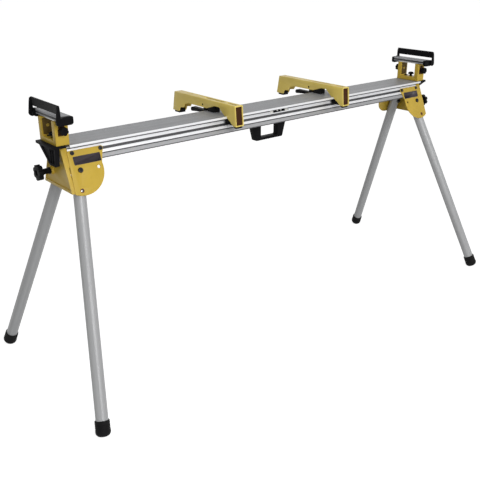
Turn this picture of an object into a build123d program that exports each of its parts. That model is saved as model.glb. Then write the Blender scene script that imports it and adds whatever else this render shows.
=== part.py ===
from build123d import *
from math import cos, radians, sin, sqrt, tan
import os

# Folding work stand for a miter saw: a beam on four folding legs, two saw arms on top
# and a support head at the outer end of each pull-out extension.
# Frame: origin on the floor under the middle of the beam, X along the beam, -Y the front, +Z up.
os.makedirs("parts", exist_ok=True)

# Overrun of every cut past the face it leaves.
overrun = 1.0
# Gap between flat faces that slide on each other, and radial gap of a pin in its hole.
slide_gap = 0.3
pin_gap = 0.05

# Beam extrusion.
beam_top = 800.0
beam_height = 58.0
lip_half = 62.0
lip_thick = 7.0
side_top = 35.0
side_tilt = 23.0
beam_wall = 2.4
beam_floor = 2.5
beam_roof = 5.0
beam_web = 3.0
beam_past_pivot = 23.0

# Groove for tee nuts in each side of the beam.
slot_drop = 29.5
slot_mouth = 8.5
slot_lip = 2.2
slot_width = 15.0
slot_depth = 4.6
line_drop = 42.5
line_width = 1.8
line_depth = 1.0

# Grooves along the top of the beam.
edge_groove_half = 49.5
edge_groove_width = 1.6
edge_groove_depth = 0.9
fine_groove_count = 13
fine_groove_pitch = 6.6
fine_groove_width = 1.0
fine_groove_depth = 0.4

# Latch recess in the front of the beam.
latch_start = -24.0
latch_length = 90.0
latch_drop = 16.0
latch_height = 14.0
latch_depth = 1.6
latch_clip_length = 14.0
latch_clip_thick = 1.2
latch_clip_inset = 2.0

# Legs.
leg_diameter = 38.0
leg_wall = 2.0
leg_rake = 10.5
leg_gap = 0.8
leg_axis_drop = 28.3
leg_above_pivot = 16.0
fold_gap = 18.0
plug_length = 30.0
plug_cap = 2.0
detent_radius = 61.0
button_diameter = 9.0
button_proud = 0.5
button_hole_gap = 0.3
leaf_thick = 1.0
leaf_width = 11.0
leaf_length = 38.0
leaf_seat = 1.2
nose_crown_share = 0.25

# Rubber feet.
foot_wall = 4.0
foot_sleeve = 34.0
foot_base = 14.0
foot_round = 15.0
foot_lip = 2.0
foot_cut = 1.2

# Leg brackets.
plate_thick = 3.5
plate_top = 61.0
plate_outer_top = 26.0
plate_outer_low = 35.0
plate_round = 76.0
plate_inner_top = -92.0
plate_arc_end = 9.1
plate_corner = 6.0
bolt_outer = 12.0
bolt_inner = -81.0
bolt_diameter = 6.0
bolt_head = 13.0
bolt_head_height = 3.2
bolt_crown_share = 0.6
nut_thick = 3.6
nut_length = 18.0
detent_hole = 10.4
pivot_bolt = 8.0
pivot_head = 16.0
pivot_head_height = 5.0
pivot_nut = 13.0
pivot_nut_height = 6.5
pivot_washer = 0.5
label_left = -75.0
label_right = 14.0
label_low = 16.0
label_high = 42.0
label_thick = 0.6
label_corner = 3.0
web_gap = 1.2
web_thick = 19.8
web_step = 8.0
web_lap = 1.0
collar_drop = 65.0
web_low = 138.0
web_recess = 2.6
web_recess_top = 62.0
web_rim = 9.0
plate_pocket = 5.4

# Extension tubes, which end a stop distance short of the beam's far end, the left one drawn out a little.
tube_width = 26.0
tube_height = 38.0
tube_wall = 2.5
tube_stop = 278.0
left_pull = 10.0
tube_centre = 17.0
tube_top_gap = 12.0
bush_gap = 0.4
bush_wall = 2.2
slider_length = 40.0
slider_collar = 22.0
slider_gap = 0.6
slider_lap = 1.0

# Lock plate, stud and lobed knob of each extension.
lock_plate_thick = 4.0
lock_plate_margin = 2.4
lock_window_gap = 0.6
lock_tail_half = 13.0
lock_tail_low = 12.0
lock_bar = 10.0
knob_offset = 34.0
knob_drop = 34.0
stud_diameter = 10.0
boss_diameter = 26.0
boss_length = 8.0
hub_diameter = 21.0
hub_length = 29.0
knob_core = 19.0
knob_lobe = 6.5
knob_lobe_count = 7
knob_reach = 24.0
knob_thick = 14.0
knob_step = 1.2
knob_recess = 9.0
knob_recess_depth = 3.0

# End castings of the extensions.
casting_gap = 0.6
casting_thick = 20.0
casting_half = 57.0
casting_rise = 1.0
casting_flange = 8.0
casting_step = 7.0
casting_flange_gap = 0.8
casting_low = 61.0
casting_foot_inner = 10.0
casting_foot_outer = 50.0
casting_round = 3.0
casting_socket = 9.0

# Yellow upright frames on the castings.
frame_depth = 42.0
frame_inset = 14.0
frame_half = 54.0
frame_height = 71.0
frame_base = 14.0
post_thick = 18.0
pocket_width = 26.0
pocket_thick = 8.0
pocket_inset = 4.0
pocket_floor = 5.0
post_window_top = 62.0
post_window_low = 28.0
post_window_depth = 2.0
window_top_share = 0.35
frame_round = 1.5
frame_corner = 3.0
dome_diameter = 24.0
dome_height = 9.0
dome_stem = 10.0
dome_stem_height = 8.0
dome_crown_share = 0.8
base_bolt_side = 26.0
base_bolt_inset = 11.5
base_bolt_depth = 7.0

# Risers, support shelves and flip stops.
riser_plate = 3.0
riser_inset = 2.0
shelf_width = 40.0
shelf_setback = 4.6
shelf_height = 14.0
shelf_half = 76.0
shelf_wall = 2.4
shelf_round = 4.0
cap_thick = 12.0
cap_drop = 10.0
cap_round = 8.0
stop_thick = 5.0
stop_height = 34.0
stop_slant_width = 2.7
stop_slant_drop = 12.0
stop_gap = 0.5
ear_thick = 5.4
ear_radius = 11.0
ear_front = 3.0
ear_top_drop = 2.0
stop_pivot_drop = 13.0
stop_pivot_out = 4.0
pivot_boss = 6.0
stop_pin = 6.0
stop_bottom_rise = 9.0
side_knob_height = 44.0
side_stud = 8.0
side_knob_core = 9.5
side_knob_lobe = 3.6
side_knob_reach = 12.5
side_knob_lobe_count = 6
side_knob_thick = 12.0
side_knob_step = 0.8
side_hub = 12.0
side_hub_length = 8.0

# Carry handle.
handle_top_half = 82.0
handle_low_half = 64.0
handle_drop = 66.0
handle_width = 24.0
grip_thick = 10.0
grip_half = 41.0
grip_round = 5.0
handle_screw_side = 6.0
handle_screw = 5.0
handle_screw_head = 8.0
handle_screw_head_height = 3.0
handle_screw_depth = 30.0
handle_nut_height = 3.5

# Saw arms.
arm_left = -222.0
arm_right = 298.0
arm_width = 34.0
arm_top = 42.0
arm_wall = 3.2
arm_roof = 4.0
arm_front = 106.0
arm_back = 246.0
arm_front_low = 112.0
arm_back_low = 259.0
arm_foot_rise = 27.0
arm_seat_gap = 0.2
arm_belly = 11.0
arm_brow = 25.0
arm_hook_gap = 1.0
arm_front_web = 16.0
arm_front_wall = 4.0
arm_round = 2.0
arm_belly_front = 50.0
arm_brow_rear = 5.0
arm_brow_front = 20.0
arm_seat_rear = 50.0
belly_share = 0.497
# Corners of the underside by the rear foot and the front hook, as shares of reach and of foot rise.
heel_shares = ((0.812, 1.0), (0.772, 0.444), (0.66, 0.333), (0.614, -0.185))
hook_shares = ((0.714, 0.52), (0.821, 0.89), (0.875, 1.0))
arm_slot_width = 9.0
long_slot_start = -30.0
long_slot_end = 80.0
short_slot_start = -96.0
short_slot_end = -46.0
arm_pad_height = 7.0
arm_pad_inset = 3.0
arm_pad_long = 30.0
arm_pad_short = 11.0
block_front_start = 50.0
block_front_length = 11.0
block_rear_start = 14.0
block_rear_length = 36.0
block_gap = 0.2
block_height = 22.0
jaw_height = 18.0
jaw_reach = 14.0
jaw_gap = 1.2

# Squeeze levers under the arms.
lever_width = 20.0
trunnion_inset = 0.4
lever_pin = 8.0
lever_pivot_back = 12.0
lever_pivot_rise = 20.0
lever_boss = 8.0
neck_share = 0.6
lever_length = 82.0
lever_thick = 15.0
lever_neck_thick = 8.0
lever_round = 6.0
lever_claw = 6.0
lever_claw_gap = 0.6
lever_sink = 1.0
claw_share = 0.5

# Sizes worked out from the driving ones.
tilt = radians(side_tilt)
rake = radians(leg_rake)
lip_low = beam_top - lip_thick
beam_low = beam_top - beam_height
leg_radius = leg_diameter / 2
foot_radius = leg_radius + foot_wall
leg_axis_z = beam_low - leg_axis_drop


# Half width of the beam's sloping side, or of its plane carried on below.
def side_y(z):
    return side_top + (lip_low - z) * tan(tilt)


leg_depth = leg_gap + leg_radius
leg_axis_y = side_y(leg_axis_z) - leg_depth / cos(tilt)

# Leg direction, the plate's outward normal and the foot, for the right front leg.
plate_normal = Vector(0, -cos(tilt), sin(tilt))
leg_direction = Vector(sin(rake), -cos(rake) * sin(tilt), -cos(rake) * cos(tilt))
leg_upright_share = cos(rake) * cos(tilt)
foot_flat = foot_radius - foot_round
foot_sink = foot_flat * sqrt(1 - leg_upright_share**2) + foot_round - foot_cut
leg_reach = foot_round + (leg_axis_z - foot_sink) / leg_upright_share
pivot_x = leg_reach + fold_gap / 2
beam_half = pivot_x + beam_past_pivot
pivot_point = Vector(pivot_x, -leg_axis_y, leg_axis_z)
plate_point = pivot_point + plate_normal * (leg_depth + plate_thick)
side_plane = Plane(origin=plate_point, x_dir=(1, 0, 0), z_dir=plate_normal)
leg_plane = Plane(origin=pivot_point, x_dir=plate_normal, z_dir=leg_direction)
tube_end = leg_reach - foot_base
slot_z = beam_top - slot_drop
bolt_line = (slot_z - plate_point.Z + plate_thick * sin(tilt)) / cos(tilt)

# Web at the outer end of the bracket, tube and casting of the right extension.
web_in = beam_half + web_gap
web_out = web_in + web_thick
sheet_in = web_in + web_step
casting_in = web_out + casting_gap
casting_out = casting_in + casting_thick
casting_top = beam_top + casting_rise
base_bolt_x = casting_in - base_bolt_inset
flange_low = casting_top - casting_flange
web_top = flange_low - casting_gap
tube_in_y = tube_centre - tube_width / 2
tube_out_y = tube_centre + tube_width / 2
tube_top = beam_top - tube_top_gap
tube_low = tube_top - tube_height
tube_out_x = casting_in + casting_socket
tube_in_x = tube_stop - beam_half
knob_z = beam_low - knob_drop

# Yellow frame, riser, shelf and flip stop of the right extension.
frame_out = casting_out - frame_inset
frame_in = frame_out - frame_depth
frame_x = (frame_in + frame_out) / 2
frame_top = casting_top + frame_height
frame_floor = casting_top + frame_base
pocket_out_y = frame_half - pocket_inset
pocket_in_y = pocket_out_y - pocket_thick
riser_low = frame_top + slide_gap
shelf_low = riser_low + riser_plate
shelf_top = shelf_low + shelf_height
shelf_out = frame_out - shelf_setback
shelf_in = shelf_out - shelf_width
shelf_x = (shelf_in + shelf_out) / 2
cap_end = shelf_half + cap_thick
ear_in = cap_end + slide_gap
stop_in = shelf_out + stop_gap
stop_out = stop_in + stop_thick
stop_pivot_x = shelf_out + stop_pivot_out
stop_pivot_z = shelf_top - stop_pivot_drop
side_knob_z = casting_top + side_knob_height

# Pivot of the levers under the saw arms.
lever_pivot_y = lip_half + lever_pivot_back
lever_pivot_z = beam_top + lever_pivot_rise


# Box between two values on each axis.
def block(x_ends, y_ends, z_ends):
    ends = (x_ends, y_ends, z_ends)
    middle = [(low + high) / 2 for low, high in ends]
    size = [abs(high - low) for low, high in ends]
    return Pos(*middle) * Box(*size)


# Round bar from a point along a direction.
def rod(start, direction, length, diameter):
    place = Plane(origin=start, z_dir=direction).location
    return place * Cylinder(diameter / 2, length, align=(Align.CENTER, Align.CENTER, Align.MIN))


# Face from a list of points, or the face itself.
def as_face(outline):
    if isinstance(outline, (list, tuple)):
        return make_face(Polyline(*outline, close=True))
    return outline


# Outline of (y, z) points or a sketch, carried along X.
def slab_x(outline, x_ends):
    plane = Plane(origin=(x_ends[0], 0, 0), x_dir=(0, 1, 0), z_dir=(1, 0, 0))
    face = as_face(outline)
    return extrude(plane * face, amount=x_ends[1] - x_ends[0])


# Outline of (x, z) points or a sketch, carried along Y.
def slab_y(outline, y_ends):
    plane = Plane(origin=(0, y_ends[1], 0), x_dir=(1, 0, 0), z_dir=(0, -1, 0))
    face = as_face(outline)
    return extrude(plane * face, amount=y_ends[1] - y_ends[0])


# Closed outline that repeats its +Y points on the -Y side.
def both_sides(points):
    return list(points) + [(-y, z) for y, z in reversed(points)]


# Copy of a right front solid at one of the four corners.
def quadrant(solid, x_side, y_side):
    if x_side < 0:
        solid = mirror(solid, about=Plane.YZ)
    if y_side > 0:
        solid = mirror(solid, about=Plane.XZ)
    return solid


# Copy of a right end solid at the left end.
def turned(solid):
    return Rot(0, 0, 180) * solid


# Write one node, which may be a group of separate solids.
def save(name, *solids):
    bodies = [body for solid in solids for body in solid.solids()]
    export_step(bodies[0] if len(bodies) == 1 else Compound(children=bodies), f"parts/{name}.step")


# Half width over the outer faces of the bracket's side plates.
def plate_y(z):
    return side_y(z) + plate_thick / cos(tilt)


# Strip cut square to both sloping sides of the beam's section.
def side_cut(z, depth_start, depth_end, width):
    middle = (depth_start + depth_end) / 2
    strip = Rectangle(depth_end - depth_start, width)
    right = Pos(side_y(z) - cos(tilt) * middle, z - sin(tilt) * middle) * Rot(0, 0, side_tilt) * strip
    return right + mirror(right, about=Plane.YZ)


# Beam with two chambers, a tee groove in each side and grooves along its top.
def beam_extrusion():
    wall_y = beam_wall / cos(tilt)
    pocket_end = slot_lip + slot_depth
    floor_z = beam_low + beam_floor
    roof_z = beam_top - beam_roof
    outer = both_sides(
        [(lip_half, beam_top), (lip_half, lip_low), (side_top, lip_low), (side_y(beam_low), beam_low)]
    )
    section = make_face(Polyline(*outer, close=True))
    chamber = make_face(
        Polyline(
            (beam_web / 2, floor_z),
            (side_y(floor_z) - wall_y, floor_z),
            (side_y(roof_z) - wall_y, roof_z),
            (beam_web / 2, roof_z),
            close=True,
        )
    )
    envelope = side_cut(slot_z, 0, pocket_end + beam_wall, slot_width + 2 * beam_wall)
    chamber -= envelope
    section -= chamber
    section -= mirror(chamber, about=Plane.YZ)
    section -= side_cut(slot_z, -overrun, pocket_end, slot_mouth)
    section -= side_cut(slot_z, slot_lip, pocket_end, slot_width)
    section -= side_cut(beam_top - line_drop, -overrun, line_depth, line_width)
    for y in (-edge_groove_half, edge_groove_half):
        section -= Pos(y, beam_top) * Rectangle(edge_groove_width, 2 * edge_groove_depth)
    for index in range(fine_groove_count):
        y = (index - (fine_groove_count - 1) / 2) * fine_groove_pitch
        section -= Pos(y, beam_top) * Rectangle(fine_groove_width, 2 * fine_groove_depth)
    beam = slab_x(section, (-beam_half, beam_half))
    recess_z = beam_top - latch_drop
    recess = side_recess(recess_z, latch_height, latch_depth)
    beam -= slab_x(recess, (latch_start, latch_start + latch_length))
    through = beam_floor + 2 * overrun
    for x, y in handle_screw_places():
        beam -= rod((x, y, beam_low - overrun), (0, 0, 1), through, handle_screw + 2 * pin_gap)
    return beam


# Section of a shallow recess in the front side of the beam.
def side_recess(z, width, depth):
    strip = Rectangle(depth + overrun, width)
    middle = (depth - overrun) / 2
    return Pos(-side_y(z) + cos(tilt) * middle, z - sin(tilt) * middle) * Rot(0, 0, -side_tilt) * strip


# Two small steel clips in the recess at the front of the beam.
def rail_clips():
    z = beam_top - latch_drop
    middle = latch_depth - latch_clip_thick / 2
    strip = Rectangle(latch_clip_thick, latch_height - 2 * slide_gap)
    section = Pos(-side_y(z) + cos(tilt) * middle, z - sin(tilt) * middle) * Rot(0, 0, -side_tilt) * strip
    first = latch_start + latch_clip_inset
    second = latch_start + latch_length - latch_clip_inset - latch_clip_length
    return [slab_x(section, (x, x + latch_clip_length)) for x in (first, second)]


# Shape set square to the right front side plate, at a depth behind its outer face.
def in_side_plane(u, v, depth, shape):
    return side_plane.location * Pos(u, v, -depth) * shape


# Tilted side plate of a leg bracket, its round edge centred on the leg's pivot.
def side_plate():
    end_angle = radians(plate_arc_end)
    low = (plate_outer_low, -sqrt(plate_round**2 - plate_outer_low**2))
    middle = (0, -plate_round)
    inner = (-plate_round * cos(end_angle), plate_round * sin(end_angle))
    top_inner = (plate_inner_top, plate_top)
    top_outer = (plate_outer_top, plate_top)
    edges = Line(top_outer, low) + ThreePointArc(low, middle, inner)
    edges += Line(inner, top_inner) + Line(top_inner, top_outer)
    outline = make_face(edges)
    outline = fillet(outline.vertices().sort_by(Axis.Y)[-2:], plate_corner)
    plate = extrude(side_plane * outline, amount=-plate_thick)
    through = plate_thick + 2 * overrun
    holes = [
        (0, 0, pivot_bolt + 2 * pin_gap),
        (bolt_outer, bolt_line, bolt_diameter + 2 * pin_gap),
        (bolt_inner, bolt_line, bolt_diameter + 2 * pin_gap),
        (detent_radius * sin(rake), -detent_radius * cos(rake), detent_hole),
        (-detent_radius, 0, detent_hole),
    ]
    for u, v, diameter in holes:
        plate -= in_side_plane(u, v, plate_thick / 2, Cylinder(diameter / 2, through))
    return plate


# Section of the right lock plate: a frame round the tube with a tail to one side.
def lock_plate_outline(grow):
    reach = lock_window_gap + lock_plate_margin + grow
    tail_in = -knob_offset - lock_tail_half - grow
    tail_out = -knob_offset + lock_tail_half + grow
    frame = rectangle(tube_in_y - reach, tube_out_y + reach, tube_low - reach, tube_top + reach)
    bar = rectangle(tail_in, tube_out_y + reach, tube_low - lock_bar - reach, tube_low)
    tail = rectangle(tail_in, tail_out, knob_z - lock_tail_low - grow, tube_low)
    return frame + bar + tail


# Rectangle between two values on each axis of a section.
def rectangle(y_low, y_high, z_low, z_high):
    return Pos((y_low + y_high) / 2, (z_low + z_high) / 2) * Rectangle(y_high - y_low, z_high - z_low)


# Section of the right extension tube, grown on every side.
def tube_outline(grow):
    return rectangle(tube_in_y - grow, tube_out_y + grow, tube_low - grow, tube_top + grow)


# Right leg bracket: two tilted plates joined by a web over the beam's end, thicker round the tube.
def leg_bracket():
    plate = side_plate()
    low = beam_top - web_low
    sides = both_sides([(side_y(web_top) + web_lap, web_top), (side_y(low) + web_lap, low)])
    web = slab_x(sides, (web_in, web_out))
    reach = side_y(low) + web_lap + overrun
    web -= block((web_in - overrun, sheet_in), (-reach, reach), (low - overrun, beam_top - collar_drop))
    recess_top = beam_top - web_recess_top
    recess_low = low + web_rim
    recess = both_sides(
        [(plate_y(recess_top) - web_rim, recess_top), (plate_y(recess_low) - web_rim, recess_low)]
    )
    web -= slab_x(recess, (web_out - web_recess, web_out + overrun))
    pocket_out = sheet_in + plate_pocket
    boss_out = web_out - web_recess + boss_length
    web += rod((pocket_out, -knob_offset, knob_z), (1, 0, 0), boss_out - pocket_out, boss_diameter)
    web -= slab_x(lock_plate_outline(slide_gap), (web_in - overrun, pocket_out))
    web -= slab_x(tube_outline(bush_gap + bush_wall), (web_in, web_out + overrun))
    through = web_thick + boss_length + overrun
    stud_hole = rod((web_in, -knob_offset, knob_z), (1, 0, 0), through, stud_diameter + 2 * pin_gap)
    return web + quadrant(plate, 1, -1) + quadrant(plate, 1, 1) - stud_hole


# Plastic frame in the bracket's web that the right extension tube runs in.
def guide_bush():
    section = tube_outline(bush_gap + bush_wall) - tube_outline(bush_gap)
    return slab_x(section, (sheet_in + plate_pocket, web_out))


# Steel plate round the right extension tube, which a stud tilts to lock the tube.
def lock_plate():
    section = lock_plate_outline(0) - tube_outline(lock_window_gap)
    start = sheet_in + plate_pocket - slide_gap - lock_plate_thick
    return slab_x(section, (start, start + lock_plate_thick))


# Button head bolts through one side plate, each with its tee nut in the beam's groove.
def bracket_bolts():
    solids = []
    nut_depth = plate_thick + slot_lip
    for u in (bolt_outer, bolt_inner):
        shank = bolt_head_height + nut_depth + nut_thick
        head = Cylinder(bolt_head / 2, bolt_head_height, align=(Align.CENTER, Align.CENTER, Align.MIN))
        head = fillet(head.edges().group_by(Axis.Z)[-1], bolt_head_height * bolt_crown_share)
        bolt = in_side_plane(u, bolt_line, 0, head)
        bolt += in_side_plane(u, bolt_line, shank / 2 - bolt_head_height, Cylinder(bolt_diameter / 2, shank))
        nut = Box(nut_length, slot_width - 2 * slide_gap, nut_thick)
        nut -= Cylinder(bolt_diameter / 2, nut_thick + 2 * overrun)
        solids += [bolt, in_side_plane(u, bolt_line, nut_depth + nut_thick / 2, nut)]
    return solids


# Bolt and lock nut that a leg turns on.
def pivot_bolt_set():
    grip = plate_thick + 2 * leg_gap + leg_diameter
    head = Cylinder(pivot_head / 2, pivot_head_height, align=(Align.CENTER, Align.CENTER, Align.MIN))
    head = fillet(head.edges().group_by(Axis.Z)[-1], pivot_head_height * bolt_crown_share)
    shank = grip + pivot_nut_height
    bolt = in_side_plane(0, 0, 0, head) + in_side_plane(0, 0, shank / 2, Cylinder(pivot_bolt / 2, shank))
    nut = extrude(RegularPolygon(pivot_nut / 2, 6, major_radius=False), amount=pivot_nut_height)
    washer = Cylinder(pivot_head / 2, pivot_washer, align=(Align.CENTER, Align.CENTER, Align.MIN))
    nut += Pos(0, 0, pivot_nut_height - pivot_washer) * washer
    nut -= Cylinder(pivot_bolt / 2, 2 * (pivot_nut_height + overrun))
    return [bolt, in_side_plane(0, 0, grip - pivot_washer + pivot_nut_height, nut)]


# Round bar along the right front leg, between two distances below its pivot.
def leg_shape(start, end, diameter):
    bar = Cylinder(diameter / 2, end - start, align=(Align.CENTER, Align.CENTER, Align.MIN))
    return leg_plane.location * Pos(0, 0, start) * bar


# Bar square to the plate through the right front leg.
def leg_hole(distance, diameter, length):
    return leg_plane.location * Pos(0, 0, distance) * Rot(0, 90, 0) * Cylinder(diameter / 2, length)


# Aluminium tube of the right front leg.
def leg_tube():
    bore = leg_diameter - 2 * leg_wall
    tube = leg_shape(-leg_above_pivot, tube_end, leg_diameter)
    tube -= leg_shape(-leg_above_pivot - overrun, tube_end + overrun, bore)
    tube -= leg_hole(0, pivot_bolt + 2 * pin_gap, leg_diameter + 2 * overrun)
    button_side = leg_plane.location * Pos(leg_radius, 0, detent_radius) * Rot(0, 90, 0)
    hole = Cylinder(button_diameter / 2 + button_hole_gap, 2 * (leg_wall + overrun))
    return tube - button_side * hole


# Plastic plug in the top of the right front leg, bored for the pivot bolt.
def leg_plug():
    bore = leg_diameter - 2 * leg_wall
    plug = leg_shape(-leg_above_pivot, plug_length - leg_above_pivot, bore)
    plug += leg_shape(-leg_above_pivot - plug_cap, -leg_above_pivot, leg_diameter)
    return plug - leg_hole(0, pivot_bolt + 2 * pin_gap, leg_diameter + 2 * overrun)


# Rubber foot of the right front leg, worn flat where it meets the floor.
def foot():
    side_end = foot_base - foot_round
    lip_end = foot_lip - foot_sleeve
    profile = Line((0, 0), (0, foot_base))
    profile += Line((0, foot_base), (foot_flat, foot_base))
    profile += CenterArc((foot_flat, side_end), foot_round, 90, -90)
    profile += Line((foot_radius, side_end), (foot_radius, lip_end))
    profile += CenterArc((foot_radius - foot_lip, lip_end), foot_lip, 0, -90)
    profile += Line((foot_radius - foot_lip, -foot_sleeve), (leg_radius, -foot_sleeve))
    profile += Line((leg_radius, -foot_sleeve), (leg_radius, 0)) + Line((leg_radius, 0), (0, 0))
    body = revolve(make_face(Plane.XZ * profile), Axis.Z)
    body = leg_plane.location * Pos(0, 0, tube_end) * body
    reach = foot_sleeve + foot_base + 2 * foot_radius
    middle = pivot_point + leg_direction * leg_reach
    x_ends = (middle.X - reach, middle.X + reach)
    y_ends = (middle.Y - reach, middle.Y + reach)
    return body - block(x_ends, y_ends, (-reach, 0))


# Spring button of the right front leg: a nose on a curved leaf inside the tube.
def snap_button():
    bore = leg_radius - leg_wall
    height = leg_wall + leaf_seat + button_proud
    nose = Cylinder(button_diameter / 2, height, align=(Align.CENTER, Align.CENTER, Align.MIN))
    nose = fillet(nose.edges().group_by(Axis.Z)[-1], button_diameter * nose_crown_share)
    nose = leg_plane.location * Pos(bore - leaf_seat, 0, detent_radius) * Rot(0, 90, 0) * nose
    start = detent_radius - leaf_length
    outer = bore - leaf_seat
    leaf = Pos(outer - leaf_thick / 2, 0, start + (leaf_length + button_diameter) / 2) * Box(
        leaf_thick, leaf_width, leaf_length + button_diameter
    )
    return leg_plane.location * leaf + nose


# Trapezoid carry handle under the middle of the beam.
def carry_handle():
    low = beam_low - handle_drop
    outline = [
        (handle_top_half, beam_low),
        (handle_low_half, low),
        (-handle_low_half, low),
        (-handle_top_half, beam_low),
    ]
    handle = slab_y(outline, (-handle_width / 2, handle_width / 2))
    handle = fillet(handle.edges().filter_by(Axis.Y).group_by(Axis.Z)[0], grip_round)
    grip_low = low + grip_thick
    window = block((-grip_half, grip_half), (-handle_width, handle_width), (grip_low, beam_low + overrun))
    window = fillet(window.edges().filter_by(Axis.Y).group_by(Axis.Z)[0], grip_round)
    handle -= window
    through = handle_drop + 2 * overrun
    head_room = handle_drop - handle_screw_depth + overrun
    for x, y in handle_screw_places():
        handle -= rod((x, y, low - overrun), (0, 0, 1), through, handle_screw + 2 * pin_gap)
        handle -= rod((x, y, low - overrun), (0, 0, 1), head_room, handle_screw_head + 2 * slide_gap)
    return handle


# Places (x, y) of the handle's screws, two in each end of the handle.
def handle_screw_places():
    middle = (handle_low_half + grip_half) / 2
    return [(x, y) for x in (-middle, middle) for y in (-handle_screw_side, handle_screw_side)]


# Four screws that hold the handle, each with its nut on the beam's floor.
def handle_screws():
    solids = []
    seat = beam_low - handle_screw_depth
    head_low = seat - handle_screw_head_height
    nut_low = beam_low + beam_floor
    shank_top = nut_low + handle_nut_height
    for x, y in handle_screw_places():
        head = rod((x, y, head_low), (0, 0, 1), handle_screw_head_height, handle_screw_head)
        shank = rod((x, y, seat), (0, 0, 1), shank_top - seat, handle_screw)
        nut = rod((x, y, nut_low), (0, 0, 1), handle_nut_height, handle_screw_head)
        nut -= rod((x, y, nut_low - overrun), (0, 0, 1), handle_nut_height + 2 * overrun, handle_screw)
        solids += [head + shank, nut]
    return solids


# Disc with round lobes, standing on the XY plane.
def lobed_disc(core, lobe, count, reach, thick):
    disc = Cylinder(core, thick, align=(Align.CENTER, Align.CENTER, Align.MIN))
    lobe_bar = Cylinder(lobe, thick, align=(Align.CENTER, Align.CENTER, Align.MIN))
    for place in PolarLocations(reach - lobe, count):
        disc += place * lobe_bar
    return disc


# Lobed disc whose outer face is set in by a small step all round.
def knob_head(core, lobe, count, reach, thick, step):
    base = lobed_disc(core, lobe, count, reach, thick - step)
    return base + Pos(0, 0, thick - step) * lobed_disc(core - step, lobe - step, count, reach - step, step)


# Lobed knob of the right extension lock, with its hub and threaded stud.
def lock_knob():
    start = web_out - web_recess + boss_length + slide_gap
    tip = sheet_in + plate_pocket
    head = knob_head(knob_core, knob_lobe, knob_lobe_count, knob_reach, knob_thick, knob_step)
    head -= Pos(0, 0, knob_thick) * Cylinder(knob_recess, 2 * knob_recess_depth)
    place = Plane(origin=(start + hub_length, -knob_offset, knob_z), z_dir=(1, 0, 0)).location
    knob = place * head
    knob += rod((start, -knob_offset, knob_z), (1, 0, 0), hub_length, hub_diameter)
    return knob + rod((tip, -knob_offset, knob_z), (1, 0, 0), start - tip + hub_length, stud_diameter)


# Aluminium tube of the right extension, in the rear chamber of the beam.
def extension_tube():
    return slab_x(tube_outline(0) - tube_outline(-tube_wall), (tube_in_x, tube_out_x))


# Plastic plug on the inner end of the right extension tube, which runs in the chamber.
def tube_slider():
    roof = beam_top - beam_roof - slider_gap
    collar = rectangle(beam_web / 2 + slider_gap, tube_out_y + slider_lap, tube_low, roof)
    slider = slab_x(collar, (tube_in_x - slider_collar, tube_in_x))
    return slider + slab_x(tube_outline(-tube_wall), (tube_in_x, tube_in_x + slider_length))


# Black casting on the outer end of the right extension tube.
def end_casting():
    low = beam_top - casting_low
    outline = [
        (casting_half, flange_low),
        (casting_foot_outer, low),
        (casting_foot_inner, low),
        (-casting_half, flange_low),
    ]
    casting = slab_x(outline, (casting_in, casting_out - casting_step))
    casting = fillet(casting.edges().filter_by(Axis.X).group_by(Axis.Z)[0], casting_round)
    flange_in = beam_half + casting_flange_gap
    casting += block((flange_in, casting_out), (-casting_half, casting_half), (flange_low, casting_top))
    casting -= slab_x(tube_outline(0), (casting_in - overrun, tube_out_x))
    depth = base_bolt_depth + overrun
    for y, diameter in base_bolt_places():
        casting -= rod((base_bolt_x, y, casting_top + overrun), (0, 0, -1), depth, diameter)
    return casting


# Places along Y and diameters of the bolts in the yellow frame's base.
def base_bolt_places():
    return ((0, dome_stem), (-base_bolt_side, bolt_diameter), (base_bolt_side, bolt_diameter))


# Yellow frame on the right casting, with a socket for the riser in each post.
def upright_frame():
    frame = block((frame_in, frame_out), (-frame_half, frame_half), (casting_top, frame_top))
    frame = fillet(frame.edges().filter_by(Axis.Z), frame_round)
    inner = frame_half - post_thick
    gap = block((frame_in - overrun, frame_out + overrun), (-inner, inner), (frame_floor, frame_top + overrun))
    gap = fillet(gap.edges().filter_by(Axis.X).group_by(Axis.Z)[0], frame_corner)
    frame -= gap
    pocket_x = (frame_x - pocket_width / 2, frame_x + pocket_width / 2)
    window_low = casting_top + post_window_low
    window_top = casting_top + post_window_top
    window = [
        (frame_x - pocket_width / 2, window_low),
        (frame_x + pocket_width / 2, window_low),
        (frame_x + pocket_width * window_top_share, window_top),
        (frame_x - pocket_width * window_top_share, window_top),
    ]
    for side in (-1, 1):
        pocket_y = sorted((side * pocket_in_y, side * pocket_out_y))
        frame -= block(pocket_x, pocket_y, (casting_top + pocket_floor, frame_top + overrun))
        face_y = sorted((side * (frame_half - post_window_depth), side * (frame_half + overrun)))
        frame -= slab_y(window, face_y)
        start = (frame_x, side * pocket_in_y, side_knob_z)
        frame -= rod(start, (0, side, 0), post_thick, side_stud + 2 * pin_gap)
    through = frame_base + 2 * overrun
    for y, diameter in base_bolt_places():
        frame -= rod((base_bolt_x, y, casting_top - overrun), (0, 0, 1), through, diameter)
    return frame


# Domed bolt and two button head bolts that hold the right frame on its casting.
def base_bolts():
    solids = []
    low = casting_top - base_bolt_depth
    for y, diameter in base_bolt_places():
        bolt = rod((base_bolt_x, y, low), (0, 0, 1), frame_floor - low, diameter)
        if y == 0:
            bolt += rod((base_bolt_x, y, frame_floor), (0, 0, 1), dome_stem_height, diameter)
            head = Cylinder(dome_diameter / 2, dome_height, align=(Align.CENTER, Align.CENTER, Align.MIN))
            head = fillet(head.edges().group_by(Axis.Z)[-1], dome_height * dome_crown_share)
            bolt += Pos(base_bolt_x, y, frame_floor + dome_stem_height) * head
        else:
            bolt += rod((base_bolt_x, y, frame_floor), (0, 0, 1), bolt_head_height, bolt_head)
        solids.append(bolt)
    return solids


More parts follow.
